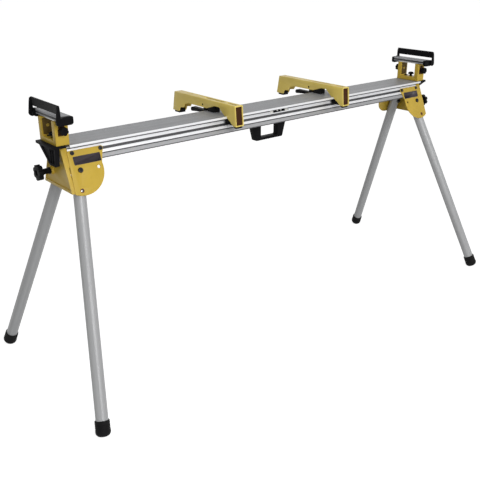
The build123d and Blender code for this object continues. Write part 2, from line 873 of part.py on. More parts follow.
# Steel cross plate of the right support head, with a leg that slides in each post.
def head_riser():
    half = pocket_out_y - slide_gap
    riser = block((shelf_in + riser_inset, shelf_out - riser_inset), (-half, half), (riser_low, shelf_low))
    leg_x = (frame_x - pocket_width / 2 + slide_gap, frame_x + pocket_width / 2 - slide_gap)
    leg_low = casting_top + pocket_floor + slide_gap
    for side in (-1, 1):
        leg_y = sorted((side * (pocket_in_y + slide_gap), side * half))
        riser += block(leg_x, leg_y, (leg_low, shelf_low))
    return riser


# Outline of the support shelf, its upper edge towards the saw rounded.
def shelf_section():
    section = Pos(shelf_x, (shelf_low + shelf_top) / 2) * Rectangle(shelf_width, shelf_height)
    return fillet(section.vertices().group_by(Axis.X)[0].sort_by(Axis.Y)[-1], shelf_round)


# Aluminium shelf of the right support head, hollow along its length.
def support_shelf():
    middle = (shelf_low + shelf_top) / 2
    cell_width = (shelf_width - 3 * shelf_wall) / 2
    cell = Rectangle(cell_width, shelf_height - 2 * shelf_wall)
    section = shelf_section()
    for side in (-1, 1):
        section -= Pos(shelf_x + side * (cell_width + shelf_wall) / 2, middle) * cell
    return slab_y(section, (-shelf_half, shelf_half))


# Black end cap on the front end of the right shelf, with the flip stop's pin.
def shelf_cap():
    section = rectangle(shelf_in, shelf_out, shelf_low - cap_drop, shelf_top)
    inner_corners = section.vertices().group_by(Axis.X)[0].sort_by(Axis.Y)
    section = fillet(inner_corners[-1], shelf_round)
    section = fillet(section.vertices().sort_by(Axis.Y)[:2].sort_by(Axis.X)[0], cap_round)
    cap = slab_y(section, (-cap_end, -shelf_half))
    boss = Pos(stop_pivot_x, stop_pivot_z) * Circle(pivot_boss)
    arm = Pos((stop_pivot_x + shelf_out) / 2 - pivot_boss / 2, stop_pivot_z) * Rectangle(
        stop_pivot_x - shelf_out + pivot_boss, 2 * pivot_boss
    )
    cap += slab_y(boss + arm, (-cap_end, -shelf_half))
    pin_start = (stop_pivot_x, -cap_end, stop_pivot_z)
    return cap + rod(pin_start, (0, -1, 0), slide_gap + ear_thick, stop_pin)


# Black flip stop of the right head: an upright bar between two ears, clear of the shelf below it.
def flip_stop():
    low = shelf_top + stop_bottom_rise
    top = shelf_top + stop_height
    end = ear_in + ear_thick
    stop = block((stop_in, stop_out), (-end, end), (low, top))
    ear_top = top - ear_top_drop
    ear = as_face(
        [
            (stop_pivot_x - ear_radius, stop_pivot_z),
            (stop_pivot_x + ear_radius, stop_pivot_z),
            (stop_out + ear_front, ear_top),
            (stop_in, ear_top),
            (stop_in, shelf_top),
            (stop_pivot_x - ear_radius, shelf_top),
        ]
    )
    ear += Pos(stop_pivot_x, stop_pivot_z) * Circle(ear_radius)
    for side in (-1, 1):
        ends = sorted((side * ear_in, side * end))
        start = (stop_pivot_x, side * cap_end, stop_pivot_z)
        stop += slab_y(ear, ends)
        stop -= rod(start, (0, side, 0), 2 * ear_thick, stop_pin + 2 * pin_gap)
        slant = [(end - stop_slant_width, top), (end - stop_slant_width, top + overrun)]
        slant += [(end + overrun, top + overrun), (end + overrun, top - stop_slant_drop)]
        slant = [(side * y, z) for y, z in slant + [(end, top - stop_slant_drop)]]
        stop -= slab_x(slant, (stop_pivot_x - 2 * ear_radius, stop_pivot_x + 2 * ear_radius))
    return stop


# Small lobed knob on one side of the right frame, which clamps a leg of the riser.
def side_knob(side):
    tip = pocket_out_y
    hub_start = frame_half + slide_gap
    head_start = hub_start + side_hub_length
    head = knob_head(
        side_knob_core, side_knob_lobe, side_knob_lobe_count, side_knob_reach, side_knob_thick, side_knob_step
    )
    place = Plane(origin=(frame_x, side * head_start, side_knob_z), z_dir=(0, side, 0)).location
    knob = place * head
    knob += rod((frame_x, side * hub_start, side_knob_z), (0, side, 0), side_hub_length, side_hub)
    return knob + rod((frame_x, side * tip, side_knob_z), (0, side, 0), head_start - tip + overrun, side_stud)


# Side view of a saw arm, hooked over the front lip of the beam.
def arm_outline():
    foot_z = beam_top - arm_foot_rise
    span = arm_back_low - lip_half
    hook_y = lip_half + arm_hook_gap
    seat_z = beam_top + arm_seat_gap
    points = [(-arm_front, beam_top + arm_top), (arm_back, beam_top + arm_top), (arm_back_low, foot_z)]
    points += [(lip_half + y * span, beam_top - z * arm_foot_rise) for y, z in heel_shares]
    points += [(lip_half + belly_share * span, beam_top + arm_belly), (arm_belly_front, beam_top + arm_belly)]
    points += [(arm_brow_rear, beam_top + arm_brow), (-arm_brow_front, beam_top + arm_brow)]
    points += [(-arm_seat_rear, seat_z), (-hook_y, seat_z), (-hook_y, beam_top - lip_thick / 2)]
    points += [(-arm_front_low * y, beam_top - z * arm_foot_rise) for y, z in hook_shares]
    return points + [(-arm_front_low, foot_z)]


# Yellow saw arm: an open channel with two bolt slots along its top.
def saw_arm(x):
    half = arm_width / 2
    inner = half - arm_wall
    roof = beam_top + arm_top - arm_roof
    low = beam_top - arm_foot_rise
    web_y = -arm_front + arm_front_web
    arm = slab_x(arm_outline(), (x - half, x + half))
    arm = fillet(arm.edges().filter_by(Axis.Y).group_by(Axis.Z)[-1], arm_round)
    cavity = [
        (web_y, low - overrun),
        (arm_back_low - arm_wall, low - overrun),
        (arm_back_low - arm_wall, low),
        (arm_back - arm_wall, roof),
        (web_y, roof),
    ]
    arm -= slab_x(cavity, (x - inner, x + inner))
    pocket_y = (-arm_front_low - overrun, web_y - arm_front_wall)
    arm -= block((x - inner, x + inner), pocket_y, (low + arm_wall, roof))
    for start, end in ((long_slot_start, long_slot_end), (short_slot_start, short_slot_end)):
        slot = SlotOverall(end - start, arm_slot_width)
        slot = extrude(slot, amount=arm_roof + overrun, both=True)
        arm -= Pos(x, (start + end) / 2, beam_top + arm_top) * Rot(0, 0, 90) * slot
    pin = lever_pin + 2 * pin_gap
    arm -= rod((x - arm_width, lever_pivot_y, lever_pivot_z), (1, 0, 0), 2 * arm_width, pin)
    return arm


# Rubber pads under a saw arm's two feet and plastic blocks that sit on the beam.
def arm_pads(x):
    inner = arm_width / 2 - arm_wall
    ends = (x - inner, x + inner)
    low = beam_top - arm_foot_rise
    pad_low = low - arm_pad_height
    back = arm_back_low - arm_wall - arm_pad_inset
    rear_pad = block(ends, (back - arm_pad_long, back), (pad_low, low + arm_pad_height))
    front = -arm_front_low + arm_wall
    front_pad = block(ends, (front, front + arm_pad_short), (pad_low, low))
    seat = beam_top + block_gap
    front_ends = (-block_front_start - block_front_length, -block_front_start)
    rear_ends = (block_rear_start, block_rear_start + block_rear_length)
    blocks = [block(ends, y_ends, (seat, seat + block_height)) for y_ends in (front_ends, rear_ends)]
    return [rear_pad, front_pad] + blocks


# Black jaw of a saw arm, which reaches under the beam's front lip.
def front_jaw(x):
    inner = arm_width / 2 - arm_wall
    top = lip_low - jaw_gap
    root = -arm_front + arm_front_web
    return block((x - inner, x + inner), (root, -lip_half + jaw_reach), (top - jaw_height, top))


# Black lever under a saw arm: its claw holds the rear lip and its handle is squeezed up.
def squeeze_lever(x):
    half = lever_width / 2
    claw_top = lip_low - lever_claw_gap
    neck_in = lip_half + lever_claw_gap
    neck_out = lever_pivot_y + lever_boss * neck_share
    tip_y = lever_pivot_y + lever_length
    grip_top = beam_top - lever_sink
    grip_low = grip_top - lever_thick
    neck_low = grip_top - lever_neck_thick
    claw_low = claw_top - lever_thick * claw_share
    outline = [
        (lip_half - lever_claw, claw_top),
        (neck_in, claw_top),
        (neck_in, lever_pivot_z),
        (neck_out, lever_pivot_z),
        (neck_out, grip_top),
        (tip_y, grip_top),
        (tip_y, grip_low),
        (neck_out, neck_low),
        (lip_half, claw_low),
        (lip_half - lever_claw, claw_low),
    ]
    lever = slab_x(outline, (x - half, x + half))
    lever = fillet(lever.edges().filter_by(Axis.X).group_by(Axis.Y)[-1], lever_round)
    lever += rod((x - half, lever_pivot_y, lever_pivot_z), (1, 0, 0), lever_width, 2 * lever_boss)
    trunnion = arm_width - 2 * trunnion_inset
    return lever + rod((x - trunnion / 2, lever_pivot_y, lever_pivot_z), (1, 0, 0), trunnion, lever_pin)


# Bare label plate on one side plate.
def label_plate():
    label = RectangleRounded(label_right - label_left, label_high - label_low, label_corner)
    label = extrude(label, amount=label_thick)
    return in_side_plane((label_left + label_right) / 2, (label_low + label_high) / 2, 0, label)


# Parts that are the same at all four corners of the stand, for each end and side.
corners = [
    (f"{end}_{side}", x_side, y_side)
    for end, x_side in (("left", -1), ("right", 1))
    for side, y_side in (("front", -1), ("rear", 1))
]


# Copies of a right front solid at all four corners.
def at_corners(solid):
    return [quadrant(solid, x_side, y_side) for name, x_side, y_side in corners]


# Write a right end part and its copy for the left end.
def save_ends(name, *solids):
    save(f"right_{name}", *solids)
    save(f"left_{name}", *[turned(solid) for solid in solids])


# Part of the left extension, drawn out along the beam.
def pulled(solid):
    return Pos(-left_pull, 0, 0) * solid


# Write a right extension part and its copy for the left extension.
def save_extension(name, *solids):
    save(f"right_{name}", *solids)
    save(f"left_{name}", *[pulled(turned(solid)) for solid in solids])


# Beam with what stays fixed to it.
save("beam_extrusion", beam_extrusion())
save("latch_clips", *rail_clips())
save("carry_handle", carry_handle())
save("handle_screws", *handle_screws())
save_ends("leg_bracket", leg_bracket())
save("bracket_bolts", *[copy for solid in bracket_bolts() for copy in at_corners(solid)])
save("leg_pivot_bolts", *[copy for solid in pivot_bolt_set() for copy in at_corners(solid)])
save("label_plates", *at_corners(label_plate()))
bush = guide_bush()
save("tube_guide_bushes", bush, turned(bush))
plate = lock_plate()
save("lock_plates", plate, turned(plate))
save_ends("lock_knob", lock_knob())

# Legs.
leg_parts = {"leg_tube": leg_tube(), "leg_plug": leg_plug(), "foot": foot(), "snap_button": snap_button()}
for corner, x_side, y_side in corners:
    for name, solid in leg_parts.items():
        save(f"{corner}_{name}", quadrant(solid, x_side, y_side))

# Extensions with their support heads.
save_extension("extension_tube", extension_tube())
save_extension("tube_slider", tube_slider())
save_extension("end_casting", end_casting())
save_extension("head_frame", upright_frame())
save_extension("base_bolts", *base_bolts())
save_extension("head_riser", head_riser())
save_extension("support_shelf", support_shelf())
save_extension("shelf_caps", shelf_cap(), mirror(shelf_cap(), about=Plane.XZ))
save_extension("flip_stop", flip_stop())
front_knob = side_knob(-1)
rear_knob = side_knob(1)
save("right_front_height_knob", front_knob)
save("right_rear_height_knob", rear_knob)
save("left_front_height_knob", pulled(turned(rear_knob)))
save("left_rear_height_knob", pulled(turned(front_knob)))

# Saw arms with their pads, jaws and levers.
for end, x in (("left", arm_left), ("right", arm_right)):
    save(f"{end}_saw_arm", saw_arm(x))
    save(f"{end}_arm_pads", *arm_pads(x))
    save(f"{end}_arm_jaw", front_jaw(x))
    save(f"{end}_arm_lever", squeeze_lever(x))
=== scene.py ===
from math import cos, pi, radians, sin
import bpy
from mathutils import Matrix, Vector


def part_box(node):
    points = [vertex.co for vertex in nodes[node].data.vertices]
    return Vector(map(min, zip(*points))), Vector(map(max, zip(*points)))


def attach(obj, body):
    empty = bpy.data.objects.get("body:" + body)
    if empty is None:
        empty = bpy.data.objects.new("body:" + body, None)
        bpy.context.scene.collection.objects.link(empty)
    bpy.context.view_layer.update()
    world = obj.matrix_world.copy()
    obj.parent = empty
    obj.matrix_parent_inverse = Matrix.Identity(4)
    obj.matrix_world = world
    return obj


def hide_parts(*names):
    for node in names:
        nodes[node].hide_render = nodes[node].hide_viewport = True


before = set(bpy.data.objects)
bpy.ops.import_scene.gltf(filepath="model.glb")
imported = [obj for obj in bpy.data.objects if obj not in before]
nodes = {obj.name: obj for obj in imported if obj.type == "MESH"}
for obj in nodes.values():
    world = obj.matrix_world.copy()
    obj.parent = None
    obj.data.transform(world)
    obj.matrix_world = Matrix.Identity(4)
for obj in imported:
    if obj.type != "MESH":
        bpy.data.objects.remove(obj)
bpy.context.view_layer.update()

endNames = ("left", "right")
ends = (("left", -1), ("right", 1))
sides = (("front", -1), ("rear", 1))
corners = [(end + "_" + side, xSide, ySide) for end, xSide in ends for side, ySide in sides]
bpy.ops.object.select_all(action="DESELECT")

# camera, solved from the beam, the legs and the floor in the photograph
view = {"place": (-1.6697, -1.8773, 1.3194), "yaw": 0.686423, "pitch": 0.397576, "roll": -0.0027,
        "lens": 51.83, "sensor": 36}
cameraData = bpy.data.cameras.new("camera")
cameraData.lens = view["lens"]
cameraData.sensor_width = view["sensor"]
camera = bpy.data.objects.new("camera", cameraData)
bpy.context.scene.collection.objects.link(camera)
camera.location = view["place"]
headed = Matrix.Rotation(-view["yaw"], 3, "Z")
tilted = Matrix.Rotation(pi / 2 - view["pitch"], 3, "X")
rolled = Matrix.Rotation(view["roll"], 3, "Z")
camera.rotation_euler = (headed @ tilted @ rolled).to_euler()
bpy.context.scene.camera = camera

# lines of the stand: how the legs and side plates lean, the pivots of the legs, and the knobs' axes
standLines = {"splay": radians(10.5), "tilt": radians(23), "pivot": (0.793534, 0.047151, 0.7137),
              "legReach": 0.784534, "heightKnobZ": 0.845, "lockKnobY": -0.034, "lockKnobZ": 0.708}


# parts of a material
def newMaterial(name):
    material = bpy.data.materials.new(name)
    material.use_nodes = True
    return material, material.node_tree, material.node_tree.nodes["Principled BSDF"]


def feed(tree, socket, value):
    # the value is a number, the three numbers of a colour, or another node's output
    if isinstance(value, bpy.types.NodeSocket):
        tree.links.new(value, socket)
    elif isinstance(value, tuple):
        socket.default_value = (*value, 1)
    else:
        socket.default_value = value


def calculated(tree, operation, *values):
    node = tree.nodes.new("ShaderNodeMath")
    node.operation = operation
    for socket, value in zip(node.inputs, values):
        feed(tree, socket, value)
    return node.outputs[0]


def spread(tree, value, fromLow, fromHigh, toLow=0.0, toHigh=1.0):
    node = tree.nodes.new("ShaderNodeMapRange")
    limits = (("From Min", fromLow), ("From Max", fromHigh), ("To Min", toLow), ("To Max", toHigh))
    for key, number in limits:
        node.inputs[key].default_value = number
    tree.links.new(value, node.inputs["Value"])
    return node.outputs["Result"]


def blendColours(tree, value, first, second):
    # inputs 6 and 7 and output 2 are the Mix node's colour sockets
    node = tree.nodes.new("ShaderNodeMix")
    node.data_type = "RGBA"
    feed(tree, node.inputs[6], first)
    feed(tree, node.inputs[7], second)
    tree.links.new(value, node.inputs["Factor"])
    return node.outputs[2]


def objectPoint(tree):
    return tree.nodes.new("ShaderNodeTexCoord").outputs["Object"]


def noise(tree, vector, scale, grain):
    node = tree.nodes.new("ShaderNodeTexNoise")
    node.inputs["Scale"].default_value = scale
    node.inputs["Detail"].default_value = grain["detail"]
    node.inputs["Roughness"].default_value = grain["rough"]
    tree.links.new(vector, node.inputs["Vector"])
    return node.outputs["Fac"]


def streaks(tree, lengthwise, grain):
    # noise on coordinates turned so that X runs along the part, then scaled apart
    turned = tree.nodes.new("ShaderNodeMapping")
    turned.inputs["Rotation"].default_value = lengthwise
    scaled = tree.nodes.new("ShaderNodeMapping")
    scaled.inputs["Scale"].default_value = (grain["along"], grain["across"], grain["across"])
    tree.links.new(objectPoint(tree), turned.inputs["Vector"])
    tree.links.new(turned.outputs["Vector"], scaled.inputs["Vector"])
    return noise(tree, scaled.outputs["Vector"], 1.0, grain)


def bump(tree, value, strength, depth, shader):
    node = tree.nodes.new("ShaderNodeBump")
    node.inputs["Strength"].default_value = strength
    node.inputs["Distance"].default_value = depth
    tree.links.new(value, node.inputs["Height"])
    tree.links.new(node.outputs["Normal"], shader.inputs["Normal"])


# brushed and anodised aluminium: fine lines along the part, a few darker drawn streaks
brushing = {"fine": {"along": 3.0, "across": 900.0, "detail": 3.0, "rough": 0.6}, "fineShare": 0.55,
            "broad": {"along": 1.2, "across": 90.0, "detail": 2.0, "rough": 0.5}, "broadShare": 0.45,
            "low": 0.3, "high": 0.7, "rougher": 0.06, "smoother": 0.04, "depth": 0.0002}


def aluminium(name, look, lengthwise=(0, 0, 0)):
    material, tree, shader = newMaterial(name)
    fine = streaks(tree, lengthwise, brushing["fine"])
    broad = streaks(tree, lengthwise, brushing["broad"])
    weaker = calculated(tree, "MULTIPLY", broad, brushing["broadShare"])
    lines = calculated(tree, "MULTIPLY_ADD", fine, brushing["fineShare"], weaker)
    amount = spread(tree, lines, brushing["low"], brushing["high"])
    colour = blendColours(tree, amount, look["dark"], look["light"])
    roughness = spread(tree, lines, brushing["low"], brushing["high"],
                       look["rough"] + brushing["rougher"], look["rough"] - brushing["smoother"])
    tree.links.new(colour, shader.inputs["Base Color"])
    tree.links.new(roughness, shader.inputs["Roughness"])
    shader.inputs["Metallic"].default_value = look["metal"]
    shader.inputs["Specular IOR Level"].default_value = look["shine"]
    bump(tree, fine, look["bump"], brushing["depth"], shader)
    return material


def paintBeamLight(material, look):
    # painted light: a painted highlight on the sloping sides and the lip's edge; painted shade in the
    # grooves, the top grooves, under the lip, on three lines and on the lower band
    tree = material.node_tree
    shader = tree.nodes["Principled BSDF"]
    plain = shader.inputs["Base Color"].links[0].from_socket
    parts = tree.nodes.new("ShaderNodeSeparateXYZ")
    tree.links.new(objectPoint(tree), parts.inputs[0])
    height = parts.outputs["Z"]
    width = calculated(tree, "ABSOLUTE", parts.outputs["Y"])
    depth = calculated(tree, "MULTIPLY_ADD", height, look["slope"], width)
    # painted shade inside the tee groove and the line groove, below the lip
    inside = spread(tree, depth, look["side"] - look["sideNear"], look["side"] - look["sideFar"])
    below = spread(tree, height, look["lipLow"] + look["lipSoft"], look["lipLow"] - look["lipSoft"])
    # painted shade: the lower band, below the line, is darker
    lowerBandShade = spread(tree, height, look["line"] + look["bandSoft"], look["line"] - look["bandSoft"],
                  0.0, look["bandShare"])
    # painted shadow: a dark band under the lip
    shadowLow = look["lipLow"] - look["shadow"]
    under = spread(tree, height, shadowLow - look["shadowSoft"], shadowLow)
    # painted shade in the grooves along the top
    onTop = calculated(tree, "COMPARE", height, look["topMiddle"], look["topReach"])
    withinTop = spread(tree, width, look["topHalf"] + look["topSoft"], look["topHalf"])
    paintedShades = [lowerBandShade, calculated(tree, "MULTIPLY", under, below),
              calculated(tree, "MULTIPLY", onTop, withinTop)]
    # painted shade: dark lines at the line groove, at the bottom edge and under the lip
    for lineHeight in (look["line"], look["lowLine"], look["lipLine"]):
        paintedShades.append(calculated(tree, "COMPARE", height, lineHeight, look["lineReach"]))
    # all the painted shade together
    amount = calculated(tree, "MULTIPLY", inside, below)
    for more in paintedShades:
        amount = calculated(tree, "MAXIMUM", amount, more)
    # painted highlight: the lip's edge and the sloping sides below the lip are lighter
    lipEdgeHighlight = spread(tree, width, look["lipHalf"] - look["edgeFar"], look["lipHalf"] - look["edgeNear"])
    paintedHighlights = calculated(tree, "MAXIMUM", below, lipEdgeHighlight)
    share = spread(tree, paintedHighlights, 0, 1, 0.0, look["highlightShare"])
    colour = blendColours(tree, share, plain, look["paintedHighlight"])
    colour = blendColours(tree, amount, colour, look["groove"])
    tree.links.new(colour, shader.inputs["Base Color"])


# powder coat: slight orange peel, dirt in broad patches, a little wear
coating = {"patches": {"scale": 14.0, "detail": 5.0, "rough": 0.6}, "wearLow": 0.35, "wearHigh": 0.7,
           "grain": {"scale": 900.0, "detail": 2.0, "rough": 0.5}, "low": 0.3, "high": 0.75,
           "rougher": 0.08, "smoother": 0.05, "depth": 0.0003}


def powderCoat(name, look):
    material, tree, shader = newMaterial(name)
    point = objectPoint(tree)
    patches = noise(tree, point, coating["patches"]["scale"], coating["patches"])
    grain = noise(tree, point, coating["grain"]["scale"], coating["grain"])
    worn = spread(tree, patches, coating["wearLow"], coating["wearHigh"])
    roughness = spread(tree, patches, coating["low"], coating["high"],
                       look["rough"] - coating["smoother"], look["rough"] + coating["rougher"])
    tree.links.new(blendColours(tree, worn, look["colour"], look["worn"]), shader.inputs["Base Color"])
    tree.links.new(roughness, shader.inputs["Roughness"])
    shader.inputs["Metallic"].default_value = 0.0
    shader.inputs["Specular IOR Level"].default_value = look["shine"]
    bump(tree, grain, look["bump"], coating["depth"], shader)
    return material


# moulded plastic and rubber: fine spark grain, faint dusty patches
moulding = {"grain": {"detail": 3.0, "rough": 0.6}, "low": 0.3, "high": 0.7, "uneven": 0.07,
            "dust": {"scale": 22.0, "detail": 4.0, "rough": 0.6}, "dustLow": 0.4, "dustHigh": 0.8,
            "depth": 0.0004}


def moulded(name, look):
    material, tree, shader = newMaterial(name)
    point = objectPoint(tree)
    grain = noise(tree, point, look["grain"], moulding["grain"])
    dust = noise(tree, point, moulding["dust"]["scale"], moulding["dust"])
    dusty = spread(tree, dust, moulding["dustLow"], moulding["dustHigh"])
    roughness = spread(tree, grain, moulding["low"], moulding["high"],
                       look["rough"] - moulding["uneven"], look["rough"] + moulding["uneven"])
    tree.links.new(blendColours(tree, dusty, look["colour"], look["dusty"]), shader.inputs["Base Color"])
    tree.links.new(roughness, shader.inputs["Roughness"])
    shader.inputs["Specular IOR Level"].default_value = look["shine"]
    bump(tree, grain, look["bump"], moulding["depth"], shader)
    return material


# plated or blackened steel: uneven plating and small scratches
plating = {"cloud": {"scale": 60.0, "detail": 4.0, "rough": 0.6}, "lengthwise": (0.4, 0.2, 0.7),
           "scratch": {"along": 60.0, "across": 1400.0, "detail": 2.0, "rough": 0.6},
           "low": 0.3, "high": 0.7, "rougher": 0.08, "smoother": 0.06, "bump": 0.15, "depth": 0.0001}


def steel(name, look):
    material, tree, shader = newMaterial(name)
    cloud = noise(tree, objectPoint(tree), plating["cloud"]["scale"], plating["cloud"])
    scratch = streaks(tree, plating["lengthwise"], plating["scratch"])
    uneven = spread(tree, cloud, plating["low"], plating["high"])
    roughness = spread(tree, scratch, plating["low"], plating["high"],
                       look["rough"] - plating["smoother"], look["rough"] + plating["rougher"])
    tree.links.new(blendColours(tree, uneven, look["dark"], look["light"]), shader.inputs["Base Color"])
    tree.links.new(roughness, shader.inputs["Roughness"])
    shader.inputs["Metallic"].default_value = 1.0
    bump(tree, scratch, plating["bump"], plating["depth"], shader)
    return material


beamLook = {"dark": (0.285, 0.29, 0.30), "light": (0.41, 0.415, 0.43), "rough": 0.44, "metal": 0.2,
            "bump": 0.12, "shine": 0.15}
# places and colours of the beam's painted highlight and painted shade
grooveLook = {"slope": 0.424475, "side": 0.371608, "sideNear": 0.0004, "sideFar": 0.0012,
              "lipLow": 0.793, "lipSoft": 0.0002, "line": 0.7565, "bandSoft": 0.0005, "bandShare": 0.6,
              "lowLine": 0.7434, "lipLine": 0.7848, "lineReach": 0.0016, "topMiddle": 0.7984,
              "topReach": 0.0013, "topHalf": 0.059, "topSoft": 0.0002, "shadow": 0.0034,
              "shadowSoft": 0.0006, "lipHalf": 0.062, "edgeFar": 0.0010, "edgeNear": 0.0004,
              "groove": (0.095, 0.095, 0.10), "paintedHighlight": (0.90, 0.905, 0.92), "highlightShare": 0.9}
legLook = {"dark": (0.33, 0.335, 0.34), "light": (0.48, 0.485, 0.49), "rough": 0.34, "metal": 0.10,
           "bump": 0.10, "shine": 0.25}
yellowLook = {"colour": (0.60, 0.41, 0.045), "worn": (0.53, 0.36, 0.04), "rough": 0.40, "bump": 0.10,
              "shine": 0.3}
# the brackets' yellow paint made lighter on the saw arms: painted light for their lit sides
litArmYellowLook = {"colour": (0.88, 0.68, 0.16), "worn": (0.80, 0.61, 0.13), "rough": 0.36, "bump": 0.10,
               "shine": 0.35}
blackPaintLook = {"colour": (0.007, 0.007, 0.008), "worn": (0.013, 0.013, 0.014), "rough": 0.42,
                  "bump": 0.12, "shine": 0.02}
plasticLook = {"colour": (0.006, 0.006, 0.007), "dusty": (0.010, 0.010, 0.011), "rough": 0.40,
               "grain": 1200.0, "bump": 0.15, "shine": 0.03}
rubberLook = {"colour": (0.004, 0.004, 0.0045), "dusty": (0.010, 0.0095, 0.009), "rough": 0.7,
              "grain": 500.0, "bump": 0.3, "shine": 0.12}
nylonLook = {"colour": (0.03, 0.03, 0.032), "dusty": (0.045, 0.045, 0.045), "rough": 0.5,
             "grain": 700.0, "bump": 0.1, "shine": 0.25}
zincLook = {"dark": (0.42, 0.42, 0.40), "light": (0.64, 0.63, 0.60), "rough": 0.3}
darkSteelLook = {"dark": (0.02, 0.02, 0.022), "light": (0.05, 0.05, 0.054), "rough": 0.36}
labelLook = {"colour": (0.030, 0.022, 0.030), "dusty": (0.050, 0.038, 0.048), "rough": 0.34,
             "grain": 300.0, "bump": 0.05, "shine": 0.3}
# dark brown for sheets of painted shade in openings
paintedShadeSheetLook = {"colour": (0.050, 0.018, 0.007), "dusty": (0.070, 0.026, 0.010), "rough": 0.55,
              "grain": 400.0, "bump": 0.12, "shine": 0.08}
# dark brown for painted shade on the posts' facing sides
postShadeLook = {"colour": (0.12, 0.078, 0.022), "dusty": (0.16, 0.105, 0.03), "rough": 0.55,
             "grain": 400.0, "bump": 0.12, "shine": 0.08}
ringLook = {"colour": (0.16, 0.045, 0.018), "dusty": (0.22, 0.07, 0.03), "rough": 0.4,
            "grain": 400.0, "bump": 0.08, "shine": 0.3}

beamMetal = aluminium("beamAluminium", beamLook)
# painted highlight and painted shade on the beam's sides and grooves
paintBeamLight(beamMetal, grooveLook)
yellowCoat = powderCoat("yellowCoat", yellowLook)
litArmYellow = powderCoat("litArmYellow", litArmYellowLook)
blackCoat = powderCoat("blackCoat", blackPaintLook)
blackPlastic = moulded("blackPlastic", plasticLook)
blackRubber = moulded("blackRubber", rubberLook)
# dark nylon, also used for the painted shade in the shelves' slots
darkNylonAndShade = moulded("darkNylonAndShade", nylonLook)
zincSteel = steel("zincSteel", zincLook)
darkSteel = steel("darkSteel", darkSteelLook)
labelFilm = moulded("labelFilm", labelLook)
paintedShadeSheet = moulded("paintedShadeSheet", paintedShadeSheetLook)
brownRing = moulded("brownRing", ringLook)
postShadeSheet = moulded("postShadeSheet", postShadeLook)


def legDirection(xSide, ySide):
    splay, tilt = standLines["splay"], standLines["tilt"]
    return Vector((xSide * sin(splay), ySide * cos(splay) * sin(tilt), -cos(splay) * cos(tilt)))


def legTurn(xSide, ySide):
    # rotation that lays a leg's direction on X, for the brushing lines
    return legDirection(xSide, ySide).rotation_difference(Vector((1, 0, 0))).to_euler()


legMetal = {name: aluminium("legAluminium_" + name, legLook, legTurn(xSide, ySide))
            for name, xSide, ySide in corners}
tubeMetal = aluminium("tubeAluminium", legLook)
shelfMetal = aluminium("shelfAluminium", beamLook, (0, 0, pi / 2))

finishes = {
    "beam_extrusion": beamMetal, "latch_clips": zincSteel, "carry_handle": blackPlastic,
    "handle_screws": zincSteel, "bracket_bolts": darkSteel, "leg_pivot_bolts": darkSteel,
    "label_plates": labelFilm, "tube_guide_bushes": darkNylonAndShade, "lock_plates": zincSteel,
}
endFinishes = {
    "leg_bracket": yellowCoat, "lock_knob": blackPlastic, "extension_tube": tubeMetal,
    "tube_slider": darkNylonAndShade, "end_casting": blackCoat, "head_frame": yellowCoat,
    "base_bolts": darkSteel, "head_riser": zincSteel, "support_shelf": shelfMetal,
    "shelf_caps": blackPlastic, "flip_stop": blackPlastic, "saw_arm": litArmYellow,
    "arm_pads": blackRubber, "arm_jaw": blackPlastic, "arm_lever": blackPlastic,
}
for end in endNames:
    finishes.update({end + "_" + part: material for part, material in endFinishes.items()})
for name, xSide, ySide in corners:
    finishes.update({name + "_leg_tube": legMetal[name], name + "_leg_plug": blackPlastic,
                     name + "_foot": blackRubber, name + "_snap_button": zincSteel,
                     name + "_height_knob": blackPlastic})
for nodeName, material in finishes.items():
    data = nodes[nodeName].data
    data.materials.clear()
    data.materials.append(material)
print("materials done:", len(finishes), "nodes")

# working tools of the modeller; angles in degrees
toolSizes = {"weld": 0.000002, "flat": 0.4, "ringWeld": 0.00001, "segments": 3, "edge": 32, "smooth": 38,
             "smallSegments": 2, "sideCount": 32, "facing": 0.9}


def clearSelection():
    if bpy.context.object and bpy.context.object.mode != "OBJECT":
        bpy.ops.object.mode_set(mode="OBJECT")
    bpy.ops.object.select_all(action="DESELECT")


def pick(piece):
    clearSelection()
    piece.select_set(True)
    bpy.context.view_layer.objects.active = piece


def openAll(piece):
    pick(piece)
    bpy.ops.object.mode_set(mode="EDIT")
    bpy.ops.mesh.select_all(action="SELECT")


def chooseFaces(piece, wanted, expected):
    # only the faces that pass are selected, and the piece is left in edit mode
    count = sum(1 for face in piece.data.polygons if wanted(face))
    print(piece.name, "faces chosen:", count, "of", expected)
    pick(piece)
    bpy.ops.object.mode_set(mode="EDIT")
    bpy.ops.mesh.select_mode(type="FACE")
    bpy.ops.mesh.select_all(action="DESELECT")
    bpy.ops.object.mode_set(mode="OBJECT")
    for face in piece.data.polygons:
        face.select = wanted(face)
    bpy.ops.object.mode_set(mode="EDIT")


def settle(piece):
    # place, turn and size go into the mesh
    pick(piece)
    bpy.ops.object.transform_apply(location=True, rotation=True, scale=True)


def applyModifier(piece, kind, **settings):
    pick(piece)
    modifier = piece.modifiers.new(kind.lower(), kind)
    for key, value in settings.items():
        setattr(modifier, key, value)
    bpy.ops.object.modifier_apply(modifier=modifier.name)


def softenEdges(piece, width, segments=toolSizes["segments"], angle=toolSizes["edge"]):
    applyModifier(piece, "BEVEL", width=width, segments=segments, limit_method="ANGLE",
                  angle_limit=radians(angle), use_clamp_overlap=True, miter_outer="MITER_ARC")


def cutAway(piece, cutter):
    applyModifier(piece, "BOOLEAN", operation="DIFFERENCE", object=cutter, solver="EXACT")
    bpy.data.objects.remove(cutter)


def joinTo(piece, others):
    pick(piece)
    for other in others:
        other.select_set(True)
    bpy.ops.object.join()


